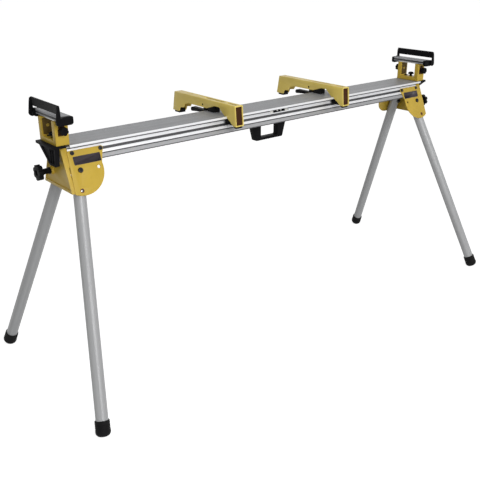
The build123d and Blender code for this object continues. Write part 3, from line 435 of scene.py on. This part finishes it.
def nodeCopy(nodeName):
    # a node's own shape as clean faces, ready to be softened and cut
    piece = bpy.data.objects.new(nodeName + "Copy", nodes[nodeName].data.copy())
    bpy.context.scene.collection.objects.link(piece)
    openAll(piece)
    bpy.ops.mesh.remove_doubles(threshold=toolSizes["weld"])
    bpy.ops.mesh.dissolve_limited(angle_limit=radians(toolSizes["flat"]))
    bpy.ops.object.mode_set(mode="OBJECT")
    return piece


def softNode(nodeName, width, segments=toolSizes["segments"], angle=toolSizes["edge"]):
    piece = nodeCopy(nodeName)
    softenEdges(piece, width, segments, angle)
    return piece


def addPiece(piece, name, material, body, smooth=toolSizes["smooth"]):
    settle(piece)
    piece.name = name
    piece.data.materials.clear()
    piece.data.materials.append(material)
    bpy.ops.object.shade_smooth_by_angle(angle=radians(smooth))
    clearSelection()
    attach(piece, body)


def place(piece, name, material, body, nodeName, smooth=toolSizes["smooth"]):
    addPiece(piece, name, material, body, smooth)
    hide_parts(nodeName)


def rod(start, direction, length, radius, sideCount=toolSizes["sideCount"]):
    direction = Vector(direction).normalized()
    middle = Vector(start) + direction * length / 2
    turn = Vector((0, 0, 1)).rotation_difference(direction).to_euler()
    clearSelection()
    bpy.ops.mesh.primitive_cylinder_add(vertices=sideCount, radius=radius, depth=length,
                                        location=middle, rotation=turn)
    piece = bpy.context.object
    settle(piece)
    return piece


def brick(low, high):
    clearSelection()
    bpy.ops.mesh.primitive_cube_add(size=1, location=[(a + b) / 2 for a, b in zip(low, high)],
                                    scale=[abs(b - a) for a, b in zip(low, high)])
    piece = bpy.context.object
    settle(piece)
    return piece


def turnedShape(profile, start, direction, sideCount):
    # a profile of (radius, distance) drawn round an axis, ring by ring
    radius, along = profile[0]
    clearSelection()
    bpy.ops.mesh.primitive_circle_add(vertices=sideCount, radius=radius, location=(0, 0, along),
                                      fill_type="NOTHING")
    piece = bpy.context.object
    settle(piece)
    bpy.ops.object.mode_set(mode="EDIT")
    bpy.ops.mesh.select_mode(type="VERT")
    bpy.ops.mesh.select_all(action="SELECT")
    for nextRadius, nextAlong in profile[1:]:
        bpy.ops.mesh.extrude_region_move(TRANSFORM_OT_translate={"value": (0, 0, nextAlong - along)})
        size = nextRadius / radius
        bpy.ops.transform.resize(value=(size, size, 1), center_override=(0, 0, nextAlong))
        radius, along = nextRadius, nextAlong
    bpy.ops.mesh.select_all(action="SELECT")
    bpy.ops.mesh.remove_doubles(threshold=toolSizes["ringWeld"])
    bpy.ops.mesh.normals_make_consistent(inside=False)
    bpy.ops.object.mode_set(mode="OBJECT")
    upright = Vector((0, 0, 1))
    piece.rotation_euler = upright.rotation_difference(Vector(direction).normalized()).to_euler()
    piece.location = start
    settle(piece)
    return piece


print("modelling the fixed parts")

# beam, with every edge of the extrusion slightly broken
beamEdge = {"soft": 0.0004, "segments": 2, "angle": 30}
beamPiece = softNode("beam_extrusion", beamEdge["soft"], beamEdge["segments"], beamEdge["angle"])
place(beamPiece, "beamExtrusion", beamMetal, "stand", "beam_extrusion", beamEdge["angle"])

# leg brackets, with soft cast edges
bracketEdge = 0.0011
for end in endNames:
    bracket = softNode(end + "_leg_bracket", bracketEdge)
    place(bracket, end + "LegBracket", yellowCoat, "stand", end + "_leg_bracket")

# socket head bolts; plane is the distance of the side plates' outer faces from the origin
boltLook = {"plane": 0.34557, "facing": 0.999, "near": 0.0003, "full": 0.8, "wall": 0.0002, "smooth": 35}
bracketBoltLook = {"head": 0.0032, "crown": 0.00458, "socket": 0.0021, "deep": 0.0022, "count": 8}
pivotBoltLook = {"head": 0.0050, "crown": 0.0050, "socket": 0.0027, "deep": 0.0032, "count": 4}


def plateNormal(point):
    tilt = standLines["tilt"]
    return Vector((0, (1 if point.y > 0 else -1) * cos(tilt), sin(tilt)))


def socketBolts(nodeName, pieceName, look):
    # the flat crown of every head, at its height over the plate, is inset and sunk
    piece = nodeCopy(nodeName)
    crownArea = pi * look["crown"] * look["crown"]
    top = boltLook["plane"] + look["head"]

    def isCrown(face):
        outward = plateNormal(face.center)
        return (face.normal.dot(outward) > boltLook["facing"]
                and abs(face.center.dot(outward) - top) < boltLook["near"]
                and face.area > boltLook["full"] * crownArea)

    chooseFaces(piece, isCrown, look["count"])
    bpy.ops.mesh.inset(thickness=look["crown"] - look["socket"], depth=0, use_individual=True)
    bpy.ops.mesh.inset(thickness=boltLook["wall"], depth=-look["deep"], use_individual=True)
    bpy.ops.object.mode_set(mode="OBJECT")
    place(piece, pieceName, darkSteel, "stand", nodeName, boltLook["smooth"])


socketBolts("bracket_bolts", "bracketBolts", bracketBoltLook)
socketBolts("leg_pivot_bolts", "pivotBolts", pivotBoltLook)

# bushes in the holes that the snap buttons stand behind
bushLook = {"inner": 0.0049, "bore": 0.00515, "rim": 0.0066, "proud": 0.0005, "deep": 0.0030,
            "rimSoft": 0.0004, "rimStep": 0.0001, "sideCount": 40, "spot": (0.80465, 0.09203, 0.66759)}
bushProfile = [(bushLook["inner"], -bushLook["deep"]), (bushLook["inner"], bushLook["proud"]),
               (bushLook["rim"] - bushLook["rimSoft"], bushLook["proud"]),
               (bushLook["rim"], bushLook["rimStep"]), (bushLook["rim"], 0.0),
               (bushLook["bore"], 0.0), (bushLook["bore"], -bushLook["deep"]),
               (bushLook["inner"], -bushLook["deep"])]
for name, xSide, ySide in corners:
    out, side, up = bushLook["spot"]
    spot = Vector((xSide * out, ySide * side, up))
    bush = turnedShape(bushProfile, spot, plateNormal(spot), bushLook["sideCount"])
    addPiece(bush, name + "Bush", brownRing, "stand")

# bare label plates with a thin raised border
borderLook = {"border": 0.0022, "wall": 0.0003, "sink": 0.0003, "least": 0.001, "facing": 0.2,
              "count": 4, "smooth": 30}
labels = nodeCopy("label_plates")
chooseFaces(labels, lambda face: face.area > borderLook["least"] and face.normal.z > borderLook["facing"],
            borderLook["count"])
bpy.ops.mesh.inset(thickness=borderLook["border"], depth=0, use_individual=True)
bpy.ops.mesh.inset(thickness=borderLook["wall"], depth=-borderLook["sink"], use_individual=True)
bpy.ops.object.mode_set(mode="OBJECT")
place(labels, "labelPlates", labelFilm, "stand", "label_plates", borderLook["smooth"])

# carry handle: soft corners and finger ridges under the grip
handleLook = {"soft": 0.0028, "segments": 4, "angle": 30, "ridges": 7, "pitch": 0.0095, "ridge": 0.0016,
              "beyond": 0.005, "sideCount": 20}
handle = softNode("carry_handle", handleLook["soft"], handleLook["segments"], handleLook["angle"])
low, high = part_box("carry_handle")
across = high.y - low.y + 2 * handleLook["beyond"]
for index in range(handleLook["ridges"]):
    x = (index - (handleLook["ridges"] - 1) / 2) * handleLook["pitch"]
    start = (x, low.y - handleLook["beyond"], low.z)
    cutAway(handle, rod(start, (0, 1, 0), across, handleLook["ridge"], handleLook["sideCount"]))
place(handle, "carryHandle", blackPlastic, "stand", "carry_handle")

# two rail catches in the front of the beam, each with a pressed lug and a pin, and two hooks between them
catchLook = {"soft": 0.0003, "lug": 0.0042, "pin": 0.0026, "apart": 0.0035, "proud": 0.0012,
             "sideCount": 28}
hookLook = {"radius": 0.0034, "proud": 0.0016, "gap": 0.017, "notch": 0.0016, "notchSide": 0.0016,
            "notchUp": 0.0018, "notchBack": 0.002, "notchLong": 0.006, "notchSides": 20}
catches = nodeCopy("latch_clips")
tilt = standLines["tilt"]
outward = Vector((0, -cos(tilt), sin(tilt)))
upwards = Vector((0, sin(tilt), cos(tilt)))


def shells(piece):
    # the points of every separate shell in a piece
    mesh = piece.data
    neighbours = {vertex.index: [] for vertex in mesh.vertices}
    for edge in mesh.edges:
        a, b = edge.vertices
        neighbours[a].append(b)
        neighbours[b].append(a)
    seen, found = set(), []
    for first in range(len(mesh.vertices)):
        if first in seen:
            continue
        stack, members = [first], []
        seen.add(first)
        while stack:
            current = stack.pop()
            members.append(mesh.vertices[current].co.copy())
            for other in neighbours[current]:
                if other not in seen:
                    seen.add(other)
                    stack.append(other)
        found.append(members)
    return found


lugs = []
catchMiddles = []
for members in shells(catches):
    middle = sum(members, Vector()) / len(members)
    catchMiddles.append(middle)
    for step, size in ((-catchLook["apart"], catchLook["lug"]), (catchLook["apart"], catchLook["pin"])):
        start = middle + Vector((step, 0, 0))
        lugs.append(rod(start, outward, catchLook["proud"], size, catchLook["sideCount"]))
recessMiddle = sum(catchMiddles, Vector()) / len(catchMiddles)
for side in (-1, 1):
    root = recessMiddle + Vector((side * hookLook["gap"] / 2, 0, 0))
    hook = rod(root, outward, hookLook["proud"], hookLook["radius"], catchLook["sideCount"])
    notch = (root + Vector((side * hookLook["notchSide"], 0, 0)) + upwards * hookLook["notchUp"]
             - outward * hookLook["notchBack"])
    cutAway(hook, rod(notch, outward, hookLook["notchLong"], hookLook["notch"], hookLook["notchSides"]))
    lugs.append(hook)
joinTo(catches, lugs)
softenEdges(catches, catchLook["soft"], toolSizes["smallSegments"])
place(catches, "railCatches", zincSteel, "stand", "latch_clips")

# dark strip behind the catches
stripLook = {"low": (-0.0238, -0.0002, -0.0067), "high": (0.0658, 0.0001, 0.0067), "back": 0.0007,
             "soft": 0.00008}
strip = brick(stripLook["low"], stripLook["high"])
strip.rotation_euler = (-tilt, 0, 0)
strip.location = Vector((0, recessMiddle.y, recessMiddle.z)) - outward * stripLook["back"]
settle(strip)
softenEdges(strip, stripLook["soft"], toolSizes["smallSegments"])
addPiece(strip, "catchStrip", blackPlastic, "stand")
print("beam, brackets, bolts, labels, handle and catches done")

# lobed knobs, each a head, a turned hub and a stud on one axis
knobTools = {"rimSides": 96, "scallopSides": 40, "overshoot": 0.005, "dishTool": 0.01, "angle": 40,
             "studInto": 0.002}
lockKnobLook = {"reach": 0.024, "thick": 0.014, "lobes": 7, "scallop": 0.0062, "scallopPlace": 0.0262,
                "dish": 0.009, "dishDepth": 0.003, "soft": 0.0016, "stud": 0.005, "studSides": 32,
                "hubLength": 0.029, "hubSides": 48,
                "hub": [(0.0002, 0), (0.0097, 0), (0.0105, 0.0008), (0.0105, 0.005), (0.0088, 0.007),
                        (0.0088, 0.022), (0.0105, 0.025), (0.0105, 0.0305), (0.0002, 0.0305)]}
heightKnobLook = {"reach": 0.0125, "thick": 0.012, "lobes": 6, "scallop": 0.0034, "scallopPlace": 0.0138,
                  "dish": 0.0045, "dishDepth": 0.0012, "soft": 0.0010, "stud": 0.004, "studSides": 28,
                  "hubLength": 0.008, "hubSides": 40,
                  "hub": [(0.0002, 0), (0.0054, 0), (0.006, 0.0006), (0.006, 0.0095), (0.0002, 0.0095)]}


def lobedHead(look, start, direction):
    # a disc with scallops cut round its rim and a dished face, its edges softened
    head = rod(start, direction, look["thick"], look["reach"], knobTools["rimSides"])
    side = direction.orthogonal().normalized()
    over, toolSides = knobTools["overshoot"], knobTools["scallopSides"]
    for index in range(look["lobes"]):
        around = Matrix.Rotation(2 * pi * (index + 1 / 2) / look["lobes"], 3, direction)
        middle = start + around @ side * look["scallopPlace"] - direction * over
        cutAway(head, rod(middle, direction, look["thick"] + 2 * over, look["scallop"], toolSides))
    dishStart = start + direction * (look["thick"] - look["dishDepth"])
    cutAway(head, rod(dishStart, direction, knobTools["dishTool"], look["dish"], toolSides))
    softenEdges(head, look["soft"], 3, knobTools["angle"])
    return head


def knobShape(look, inner, outer, out):
    headStart = outer - out * look["thick"]
    hubStart = headStart - out * look["hubLength"]
    knob = lobedHead(look, headStart, out)
    hub = turnedShape(look["hub"], hubStart, out, look["hubSides"])
    studLength = (hubStart - inner).dot(out) + knobTools["studInto"]
    joinTo(knob, [hub, rod(inner, out, studLength, look["stud"], look["studSides"])])
    return knob


for end, xSide in ends:
    low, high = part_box(end + "_lock_knob")
    y, z = standLines["lockKnobY"] * xSide, standLines["lockKnobZ"]
    innerX, outerX = (low.x, high.x) if xSide > 0 else (high.x, low.x)
    knob = knobShape(lockKnobLook, Vector((innerX, y, z)), Vector((outerX, y, z)), Vector((xSide, 0, 0)))
    place(knob, end + "LockKnob", blackPlastic, end + "_lock", end + "_lock_knob", knobTools["angle"])
for name, xSide, ySide in corners:
    low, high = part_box(name + "_height_knob")
    x, z = (low.x + high.x) / 2, standLines["heightKnobZ"]
    innerY, outerY = (low.y, high.y) if ySide > 0 else (high.y, low.y)
    knob = knobShape(heightKnobLook, Vector((x, innerY, z)), Vector((x, outerY, z)), Vector((0, ySide, 0)))
    place(knob, name + "HeightKnob", blackPlastic, name + "_knob", name + "_height_knob", knobTools["angle"])
print("knobs done")

# rubber feet: a ribbed sleeve that swells to the round tread
footLook = {"length": 0.048, "grip": 0.0190, "wall": 0.034, "mouth": 0.001, "mouthWide": 0.0008,
            "lip": 0.0214, "lipWide": 0.0006, "lipHigh": 0.0008, "sleeve": 0.0225, "rib": 0.0007,
            "ribs": 3, "ribStart": 0.010, "ribPitch": 0.006, "ribBefore": 0.003, "ribDown": 0.0008,
            "ribFloor": 0.0024, "ribUp": 0.0032, "full": 0.023, "round": 0.015, "flat": 0.008,
            "arcSteps": 8, "tip": 0.0003, "sideCount": 64, "tread": 0.00002, "smooth": 30}


def footProfile(look):
    # inside of the mouth first, then out over the lip, along the ribs and round the tread
    grip, lip, sleeve = look["grip"], look["lip"], look["sleeve"]
    points = [(grip, look["wall"]), (grip, look["mouth"]), (grip + look["mouthWide"], 0), (lip, 0),
              (lip + look["lipWide"], look["lipHigh"])]
    along = look["ribStart"]
    points.append((sleeve, along - look["ribBefore"]))
    for index in range(look["ribs"]):
        points += [(sleeve, along), (sleeve - look["rib"], along + look["ribDown"]),
                   (sleeve - look["rib"], along + look["ribFloor"]), (sleeve, along + look["ribUp"])]
        along += look["ribPitch"]
    arcStart = look["length"] - look["round"]
    points.append((look["full"], arcStart))
    for index in range(1, look["arcSteps"] + 1):
        angle = index / look["arcSteps"] * pi / 2
        points.append((look["flat"] + look["round"] * cos(angle), arcStart + look["round"] * sin(angle)))
    points.append((look["tip"], look["length"]))
    return points


for name, xSide, ySide in corners:
    out, side, up = standLines["pivot"]
    direction = legDirection(xSide, ySide)
    reach = standLines["legReach"] - footLook["length"]
    mouth = Vector((xSide * out, ySide * side, up)) + direction * reach
    foot = turnedShape(footProfile(footLook), mouth, direction, footLook["sideCount"])
    openAll(foot)
    bpy.ops.mesh.bisect(plane_co=(0, 0, footLook["tread"]), plane_no=(0, 0, -1), use_fill=True,
                        clear_outer=True)
    bpy.ops.object.mode_set(mode="OBJECT")
    place(foot, name + "Foot", blackRubber, name + "_leg", name + "_foot", footLook["smooth"])
print("feet done")

# end castings: soft edges, and a ribbed pocket in the outer face
# the pocket's outline is for the right end, where its low side is at the rear; the left end mirrors it
castingLook = {"soft": 0.0016, "step": 0.007, "pocket": 0.0025, "beyond": 0.004,
               "outline": [(0.050, 0.789), (0.0455, 0.746), (0.0125, 0.746), (-0.036, 0.789)],
               "ribs": 2, "rib": 0.0022, "ribStart": 0.020, "ribPitch": 0.014, "ribLow": 0.7455,
               "ribHigh": 0.7895, "ribInto": 0.0002, "ribBack": 0.0004, "ribSoft": 0.0005,
               "ribSegments": 2, "ribAngle": 30}


def outlineCutter(points, xLow, xHigh):
    clearSelection()
    bpy.ops.mesh.primitive_plane_add(size=1)
    cutter = bpy.context.object
    mesh = bpy.data.meshes.new("outline")
    mesh.from_pydata([(xLow, y, z) for y, z in points], [], [list(range(len(points)))])
    old = cutter.data
    cutter.data = mesh
    bpy.data.meshes.remove(old)
    openAll(cutter)
    bpy.ops.mesh.extrude_region_move(TRANSFORM_OT_translate={"value": (xHigh - xLow, 0, 0)})
    bpy.ops.mesh.select_all(action="SELECT")
    bpy.ops.mesh.normals_make_consistent(inside=False)
    bpy.ops.object.mode_set(mode="OBJECT")
    return cutter


for end, xSide in ends:
    low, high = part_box(end + "_end_casting")
    casting = nodeCopy(end + "_end_casting")
    outer = (high.x if xSide > 0 else low.x) - xSide * castingLook["step"]
    into = outer - xSide * castingLook["pocket"]
    beyond = outer + xSide * castingLook["beyond"]
    outline = [(y * xSide, z) for y, z in castingLook["outline"]]
    cutAway(casting, outlineCutter(outline, min(into, beyond), max(into, beyond)))
    softenEdges(casting, castingLook["soft"])
    ribs = []
    for index in range(castingLook["ribs"]):
        y = (castingLook["ribStart"] + castingLook["ribPitch"] * index) * xSide
        half = castingLook["rib"] / 2
        rib = brick((min(into, outer) - castingLook["ribInto"], y - half, castingLook["ribLow"]),
                    (max(into, outer) - castingLook["ribBack"], y + half, castingLook["ribHigh"]))
        softenEdges(rib, castingLook["ribSoft"], castingLook["ribSegments"], castingLook["ribAngle"])
        ribs.append(rib)
    joinTo(casting, ribs)
    place(casting, end + "EndCasting", blackCoat, end + "_extension", end + "_end_casting")

# parts of the heads and arms that only get soft edges; angles in degrees
softLooks = {
    "head_frame": {"piece": "HeadFrame", "soft": 0.0012, "segments": 3, "angle": 32,
                   "material": yellowCoat, "body": "_extension"},
    "base_bolts": {"piece": "BaseBolts", "soft": 0.0005, "segments": 2, "angle": 40,
                   "material": blackPlastic, "body": "_extension"},
    "shelf_caps": {"piece": "ShelfCaps", "soft": 0.0018, "segments": 4, "angle": 32,
                   "material": blackPlastic, "body": "_head"},
    "head_riser": {"piece": "HeadRiser", "soft": 0.0005, "segments": 2, "angle": 32,
                   "material": zincSteel, "body": "_head"},
    "flip_stop": {"piece": "FlipStop", "soft": 0.0016, "segments": 4, "angle": 32,
                  "material": blackPlastic, "body": "_stop"},
    "saw_arm": {"piece": "SawArm", "soft": 0.0013, "segments": 3, "angle": 32,
                "material": litArmYellow, "body": "_arm"},
    "arm_pads": {"piece": "ArmPads", "soft": 0.0010, "segments": 3, "angle": 32,
                 "material": blackRubber, "body": "_arm"},
    "arm_jaw": {"piece": "ArmJaw", "soft": 0.0012, "segments": 3, "angle": 32,
                "material": blackPlastic, "body": "_arm"},
    "arm_lever": {"piece": "ArmLever", "soft": 0.0022, "segments": 4, "angle": 32,
                  "material": blackPlastic, "body": "_lever"},
}


def softParts(end, *parts):
    for part in parts:
        look = softLooks[part]
        node = end + "_" + part
        piece = softNode(node, look["soft"], look["segments"], look["angle"])
        place(piece, end + look["piece"], look["material"], end + look["body"], node)


# frames, bolts, caps, risers and stops, and shelves with a slot along each long edge and a dark strip of
# painted shade in it
shelfLook = {"slotLow": 0.0028, "slotTop": 0.0052, "deep": 0.0014, "beyond": 0.001, "soft": 0.0004,
             "strip": 0.0005, "stripInto": 0.0003, "stripShort": 0.0004, "stripSoft": 0.0001}
for end in endNames:
    softParts(end, "head_frame", "base_bolts", "shelf_caps")
    low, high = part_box(end + "_support_shelf")
    shelf = nodeCopy(end + "_support_shelf")
    slotShades = []
    slotLow, slotTop = low.z + shelfLook["slotLow"], high.z - shelfLook["slotTop"]
    for face, inward in ((low.x, 1), (high.x, -1)):
        xLow, xHigh = sorted((face - inward * shelfLook["beyond"], face + inward * shelfLook["deep"]))
        cutAway(shelf, brick((xLow, low.y - shelfLook["beyond"], slotLow),
                             (xHigh, high.y + shelfLook["beyond"], slotTop)))
        xLow, xHigh = sorted((face + inward * (shelfLook["deep"] - shelfLook["strip"]),
                              face + inward * (shelfLook["deep"] + shelfLook["stripInto"])))
        # a dark strip at the floor of the slot: painted shade
        slotShades.append(brick((xLow, low.y + shelfLook["stripShort"], slotLow),
                           (xHigh, high.y - shelfLook["stripShort"], slotTop)))
    softenEdges(shelf, shelfLook["soft"], toolSizes["smallSegments"])
    place(shelf, end + "SupportShelf", shelfMetal, end + "_head", end + "_support_shelf")
    joinTo(slotShades[0], slotShades[1:])
    softenEdges(slotShades[0], shelfLook["stripSoft"], toolSizes["smallSegments"])
    addPiece(slotShades[0], end + "ShelfSlotShades", darkNylonAndShade, end + "_head")
    softParts(end, "head_riser", "flip_stop")

# painted shade: dark panels in the windows of the posts, with a hole for the height knob's stud
windowLook = {"low": 0.8292, "high": 0.8628, "halfLow": 0.0128, "halfHigh": 0.0089, "floor": 0.0520,
              "thick": 0.0005, "hole": 0.0046, "drillBack": 0.002, "drill": 0.006, "soft": 0.0001}
for end in endNames:
    low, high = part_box(end + "_head_frame")
    middle = (low.x + high.x) / 2
    for side, ySide in sides:
        yLow, yHigh = sorted((ySide * windowLook["floor"],
                              ySide * (windowLook["floor"] + windowLook["thick"])))
        panel = brick((middle - windowLook["halfLow"], yLow, windowLook["low"]),
                      (middle + windowLook["halfLow"], yHigh, windowLook["high"]))
        chooseFaces(panel, lambda face: face.normal.z > toolSizes["facing"], 1)
        share = windowLook["halfHigh"] / windowLook["halfLow"]
        bpy.ops.transform.resize(value=(share, 1, 1), center_override=(middle, 0, windowLook["high"]))
        bpy.ops.object.mode_set(mode="OBJECT")
        drillStart = (middle, yLow - windowLook["drillBack"], standLines["heightKnobZ"])
        cutAway(panel, rod(drillStart, (0, 1, 0), windowLook["drill"], windowLook["hole"]))
        softenEdges(panel, windowLook["soft"], toolSizes["smallSegments"])
        addPiece(panel, end + side.capitalize() + "WindowPanel", paintedShadeSheet, end + "_extension")

# painted shade: dark brown sheets on the faces of the posts that look at each other
postShadeSizes = {"face": 0.0360, "thick": 0.0004, "into": 0.0003, "side": 0.0045, "base": 0.0180,
              "top": 0.0040, "hole": 0.0050, "drillBack": 0.002, "drill": 0.005, "soft": 0.0001}
for end in endNames:
    low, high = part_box(end + "_head_frame")
    for side, ySide in sides:
        yLow, yHigh = sorted((ySide * (postShadeSizes["face"] - postShadeSizes["thick"]),
                              ySide * (postShadeSizes["face"] + postShadeSizes["into"])))
        postShade = brick((low.x + postShadeSizes["side"], yLow, low.z + postShadeSizes["base"]),
                      (high.x - postShadeSizes["side"], yHigh, high.z - postShadeSizes["top"]))
        drillStart = ((low.x + high.x) / 2, yLow - postShadeSizes["drillBack"], standLines["heightKnobZ"])
        cutAway(postShade, rod(drillStart, (0, 1, 0), postShadeSizes["drill"], postShadeSizes["hole"]))
        softenEdges(postShade, postShadeSizes["soft"], toolSizes["smallSegments"])
        addPiece(postShade, end + side.capitalize() + "PostShade", postShadeSheet, end + "_extension")
print("support heads done")

# saw arms: soft edges, and a dark dished panel of painted shade in the open front that leans out at its foot
panelLook = {"side": 0.0134, "low": 0.7768, "high": 0.8375, "back": -0.1015, "thick": 0.0012,
             "lean": 0.0056, "rim": 0.0022, "dishWall": 0.0006, "dish": 0.0005, "soft": 0.0002}
armX = {"left": -0.222, "right": 0.298}
for end in endNames:
    softParts(end, "saw_arm")
    panel = brick((armX[end] - panelLook["side"], panelLook["back"] - panelLook["thick"], panelLook["low"]),
                  (armX[end] + panelLook["side"], panelLook["back"], panelLook["high"]))
    chooseFaces(panel, lambda face: face.normal.z < -toolSizes["facing"], 1)
    bpy.ops.transform.translate(value=(0, -panelLook["lean"], 0))
    chooseFaces(panel, lambda face: face.normal.y < -toolSizes["facing"], 1)
    bpy.ops.mesh.inset(thickness=panelLook["rim"], depth=0)
    bpy.ops.mesh.inset(thickness=panelLook["dishWall"], depth=-panelLook["dish"])
    bpy.ops.object.mode_set(mode="OBJECT")
    softenEdges(panel, panelLook["soft"], toolSizes["smallSegments"])
    addPiece(panel, end + "ArmPanel", paintedShadeSheet, end + "_arm")
    softParts(end, "arm_pads", "arm_jaw", "arm_lever")
print("saw arms done")

# floor and backdrop: lit cloth with a share of plain white for what the camera and the metal see
stageLook = {"floor": (0.62, 0.62, 0.62), "worn": (0.60, 0.60, 0.60), "whiteShare": 0.82, "rough": 0.9,
             "mottle": {"scale": 3.0, "detail": 3.0, "rough": 0.5}, "size": 60,
             "backdrop": 1.0, "light": 0.30, "white": (1, 1, 1, 1)}


def seenRays(tree):
    # 1 for rays of the camera, of reflections and of glass
    ray = tree.nodes.new("ShaderNodeLightPath")
    value = ray.outputs["Is Camera Ray"]
    for name in ("Is Glossy Ray", "Is Transmission Ray"):
        value = calculated(tree, "MAXIMUM", value, ray.outputs[name])
    return value


floorMaterial, tree, shader = newMaterial("floorCloth")
mottle = noise(tree, objectPoint(tree), stageLook["mottle"]["scale"], stageLook["mottle"])
glow = spread(tree, seenRays(tree), 0, 1, 0, stageLook["whiteShare"])
tree.links.new(blendColours(tree, mottle, stageLook["worn"], stageLook["floor"]), shader.inputs["Base Color"])
tree.links.new(glow, shader.inputs["Emission Strength"])
shader.inputs["Emission Color"].default_value = stageLook["white"]
shader.inputs["Roughness"].default_value = stageLook["rough"]
shader.inputs["Specular IOR Level"].default_value = 0.0
bpy.ops.mesh.primitive_plane_add(size=stageLook["size"], location=(0, 0, 0))
floor = bpy.context.object
floor.name = "floor"
floor.data.materials.append(floorMaterial)
bpy.ops.object.select_all(action="DESELECT")

world = bpy.data.worlds.new("studio")
bpy.context.scene.world = world
world.use_nodes = True
background = world.node_tree.nodes["Background"]
strength = spread(world.node_tree, seenRays(world.node_tree), 0, 1, stageLook["light"], stageLook["backdrop"])
world.node_tree.links.new(strength, background.inputs["Strength"])
background.inputs["Color"].default_value = stageLook["white"]

lampAim = (0, 0, 0.6)
lamps = {"key": {"spot": (-0.9, -4.2, 2.2), "size": 2.2, "power": 108},
         "side": {"spot": (2.6, -3.4, 1.8), "size": 1.8, "power": 14},
         "top": {"spot": (-1.3, -1.2, 3.6), "size": 2.4, "power": 15}}
for name, look in lamps.items():
    data = bpy.data.lights.new(name, "AREA")
    data.size = look["size"]
    data.energy = look["power"]
    lamp = bpy.data.objects.new(name, data)
    bpy.context.scene.collection.objects.link(lamp)
    lamp.location = look["spot"]
    lamp.rotation_euler = (Vector(lampAim) - Vector(look["spot"])).to_track_quat("-Z", "Y").to_euler()

bpy.context.scene.view_settings.view_transform = "Standard"
print("scene ready")
